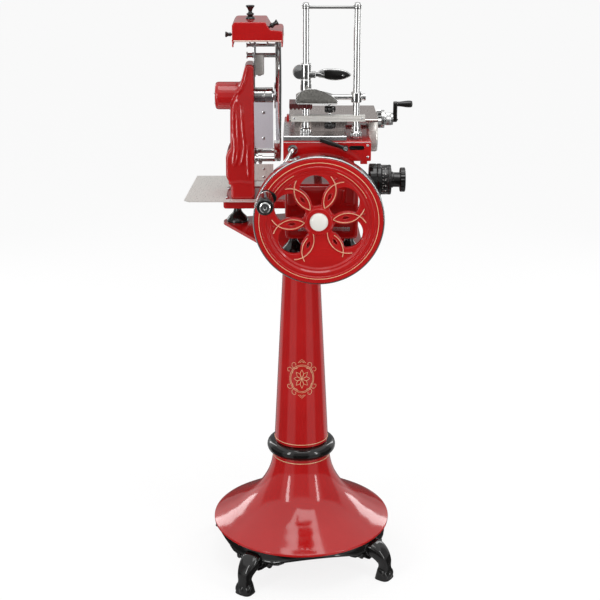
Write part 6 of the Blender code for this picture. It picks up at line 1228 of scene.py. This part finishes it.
def press():
    """Sleeve with its knurled wheel, cross arm and collar, then the lever, the fin and the gripper."""
    top, low = 1.386, PRESS_LOW
    sleeve = fillet([(SLIDE_BORE, top), (0.0118, top), (0.013, 1.3845), (0.013, 1.352), (0.0121, 1.3512),
            (0.0121, 1.3492), (0.013, 1.3484), (0.013, 1.324), (0.011, 1.3188), (0.011, low), (SLIDE_BORE, low)],
            0.0006, 3)
    knurl = lathe([(0, ROD_Y - 0.0072), (0.012, ROD_Y - 0.0072), (0.0168, ROD_Y - 0.006), (0.017, ROD_Y - 0.0052),
            (0.017, ROD_Y + 0.0052), (0.0168, ROD_Y + 0.006), (0, ROD_Y + 0.006)], "Y", (-0.0038, 0, 1.366), 180,
            scallops=30, depth=0.0011, zone=(ROD_Y - 0.0061, ROD_Y + 0.0061))
    x, z = PRESS_PIVOT
    cheeks = [slab((0.0158, y, z - 0.0067), (0.0332, y + 0.0025, z + 0.0067), 0.0009, 3)
            for y in (ROD_Y - 0.0108, ROD_Y + 0.0083)]
    pin = lathe([(0, ROD_Y - 0.0118), (0.003, ROD_Y - 0.0114), (0.003, ROD_Y + 0.0114), (0, ROD_Y + 0.0118)], "Y",
            (x, 0, z), 32)
    arm = [(0, 0.0195), (0.0066, 0.0195), (0.0066, 0.1165), (0.0066, 0.1445), (0.008, 0.145), (0.008, 0.1515),
            (0.007, 0.1525), (0, 0.1528)]
    cross = lathe(fillet(arm, 0.0006, 3), "X", (0, ROD_Y, 1.3065), 48)
    collar = [(SLIDE_BORE, 1.3185), (0.0118, 1.3185), (0.0125, 1.3175), (0.0125, low + 0.001), (0.0118, low),
            (SLIDE_BORE, low)]
    collar = lathe(fillet(collar, 0.0006, 3), "Z", (RIGHT_ROD_X, ROD_Y, 0), 64, ring=True)
    piece("press_body", merge(lathe(sleeve, "Z", (LEFT_ROD_X, ROD_Y, 0), 64, ring=True), knurl, *cheeks, pin, cross,
            collar), CHROME, "press", ["press_slider"])

    frame_plate = plate([leaf_line(0)], 0.0085, "XZ", (0, ROD_Y, 0), 0.0022)
    head = [capsule((x, z), (x + 0.016, z), 0.0041, 12), ring_line((x, z), 0.0026, 24)]
    piece("lever_frame", merge(frame_plate, plate(head, 0.0155, "XZ", (0, ROD_Y, 0), 0.0008)), CHROME, "press_lever",
            ["press_lever"])
    scales = [plate([leaf_line(0.0032, 0.15)], 0.0046, "XZ", (0, ROD_Y + sign * 0.0054, 0), 0.0018) for sign in (-1, 1)]
    piece("lever_scales", merge(*scales), KNOB, "press_lever")
    rivets = [(0.052, ROD_Y - 0.0077, z), (0.0985, ROD_Y - 0.0077, z - 0.0015)]
    screw_heads("lever_rivet", rivets, "Y", 0.002, 0.0007, "press_lever", CHROME, -1)

    edge = fillet([(-0.013 + u * 0.097, 1.2965 + v * 0.035) for u, v in FIN_SHARES], 0.006, 5, True)
    piece("press_fin_front", plate([edge], 0.0034, "XZ", (0, -0.2062, 0), 0.0012), GREY, "press")
    piece("press_fin_edge", wire([[(a, -0.208, b) for a, b in edge]], 0.0011, True), CHROME, "press")
    teeth = [[(-0.0245 + k * 0.0545 / 6, -0.2058, height) for height in (1.2835, 1.295)] for k in range(6)]
    piece("gripper_ribs", wire(teeth, 0.0011), MAROON, "press")


def leaf_line(inset, start=0.0):
    """Outline of the press lever's leaf, drawn in toward its middle."""
    (x, z), length, height = PRESS_PIVOT, 0.088, 0.027
    points = [(x + 0.004 + u * (length - 0.004), z + v * height, 0) for u, v in LEAF_SHARES if u >= start]
    middle = Vector((x + length * 0.55, z))
    result = []
    for a, b, _ in smooth_line(points + [points[0]], 5)[:-1]:
        away = (middle - Vector((a, b))).normalized()
        result.append((a + away.x * inset, b + away.y * inset))
    return result


# ---------------------------------------------------------------- thickness dial
DIAL_AT = (0, -0.08, 1.085)
DIAL_LEFT, DIAL_RIGHT, DIAL_RADIUS, DIGITS = 0.1983, 0.2228, 0.0368, 15


def thickness_dial():
    cup = [(0.0063, 0.178), (0.0063, 0.198), (0.0388, 0.198), (0.04, 0.1968), (0.04, 0.1885), (0.0388, 0.1878),
            (0.0388, 0.1868), (0.04, 0.186), (0.04, 0.17), (0.0385, 0.1685), (0.031, 0.1685), (0.031, 0.186),
            (0.0165, 0.189), (0.014, 0.186), (0.014, 0.144), (0.0175, 0.142), (0.0175, 0.1383), (0.0063, 0.1383)]
    piece("dial_bracket", lathe(fillet(cup, 0.0009, 3), "X", DIAL_AT, 112, ring=True), BLACK, "pedestal",
            ["thickness_bracket"])
    left, right, reach = DIAL_LEFT, DIAL_RIGHT, DIAL_RADIUS
    stem = right + 0.0225
    end = stem + 0.013
    knob = [(0, end), (0.02, end), (0.0215, end - 0.0012), (0.024, end - 0.0002), (0.029, end - 0.0002),
            (0.0303, end - 0.0014), (0.0303, stem + 0.0014), (0.0288, stem), (0.0183, stem), (0.0183, right + 0.006),
            (0.02, right + 0.005), (0.02, right), (0.0355, right), (reach, right - 0.0014), (reach, right - 0.008),
            (0.0362, right - 0.0088), (reach, right - 0.0096), (reach, left + 0.0014), (0.0355, left), (0.006, left),
            (0.006, 0.178), (0, 0.178)]
    piece("dial_knob", lathe(fillet(knob, 0.0006, 3), "X", DIAL_AT, 240, scallops=20, depth=0.0013,
            zone=(stem - 0.0001, end - 0.001)), KNOB, "thickness_knob", ["thickness_knob"])
    grip = [(0.0364, right - 0.0078), (0.0371, right - 0.0072), (0.0371, right - 0.0018), (0.0364, right - 0.0012)]
    piece("dial_knurl", lathe(grip, "X", DIAL_AT, 288, ring=True, scallops=72, depth=0.0006,
            zone=(right - 0.0076, right - 0.0014)), KNOB, "thickness_knob")
    ticks = []
    for k in range(2 * DIGITS):
        at = polar(reach + 0.0001, TAU * k / (2 * DIGITS), DIAL_AT[1:])
        ticks.append([(left + 0.0022, *at), (left + (0.0062 if k % 2 == 0 else 0.0044), *at)])
    piece("dial_ticks", wire(ticks, 0.00028, fineness=1), DIGIT, "thickness_knob")
    digits = []
    for k in range(DIGITS):
        mesh = baked("FONT", body=str(k), size=0.0062, extrude=0.00012, align_x="CENTER", align_y="CENTER")
        turn = TAU * k / DIGITS
        outward, across = Vector((0, cos(turn), sin(turn))), Vector((1, 0, 0))
        spin = Matrix((across, outward.cross(across), outward)).transposed().to_4x4()
        at = Vector((left + 0.0098, *DIAL_AT[1:])) + outward * (reach + 0.0002)
        mesh.transform(Matrix.Translation(at) @ spin)
        digits.append(mesh)
    piece("dial_digits", merge(*digits), DIGIT, "thickness_knob")


def dress_more():
    """CAD nodes whose shape is right but whose finish differs from their slot's plain one."""
    for name, material in (("meat_table", TABLE), ("carriage_top_plate", STEEL), ("blade_side_cover", LILAC),
            ("pedestal_top_plate", RED)):
        for material_slot in NODES[name].material_slots:
            material_slot.material = material


dress_cad()
studio()
pedestal_bell()
pedestal_collar()
pedestal_column()
pedestal_legs()
machine_feet()
flywheel()
crank_handle()
arm()
blade()
sharpener()
base_details()
carriage()
feed()
meat_table()
press()
thickness_dial()
dress_more()
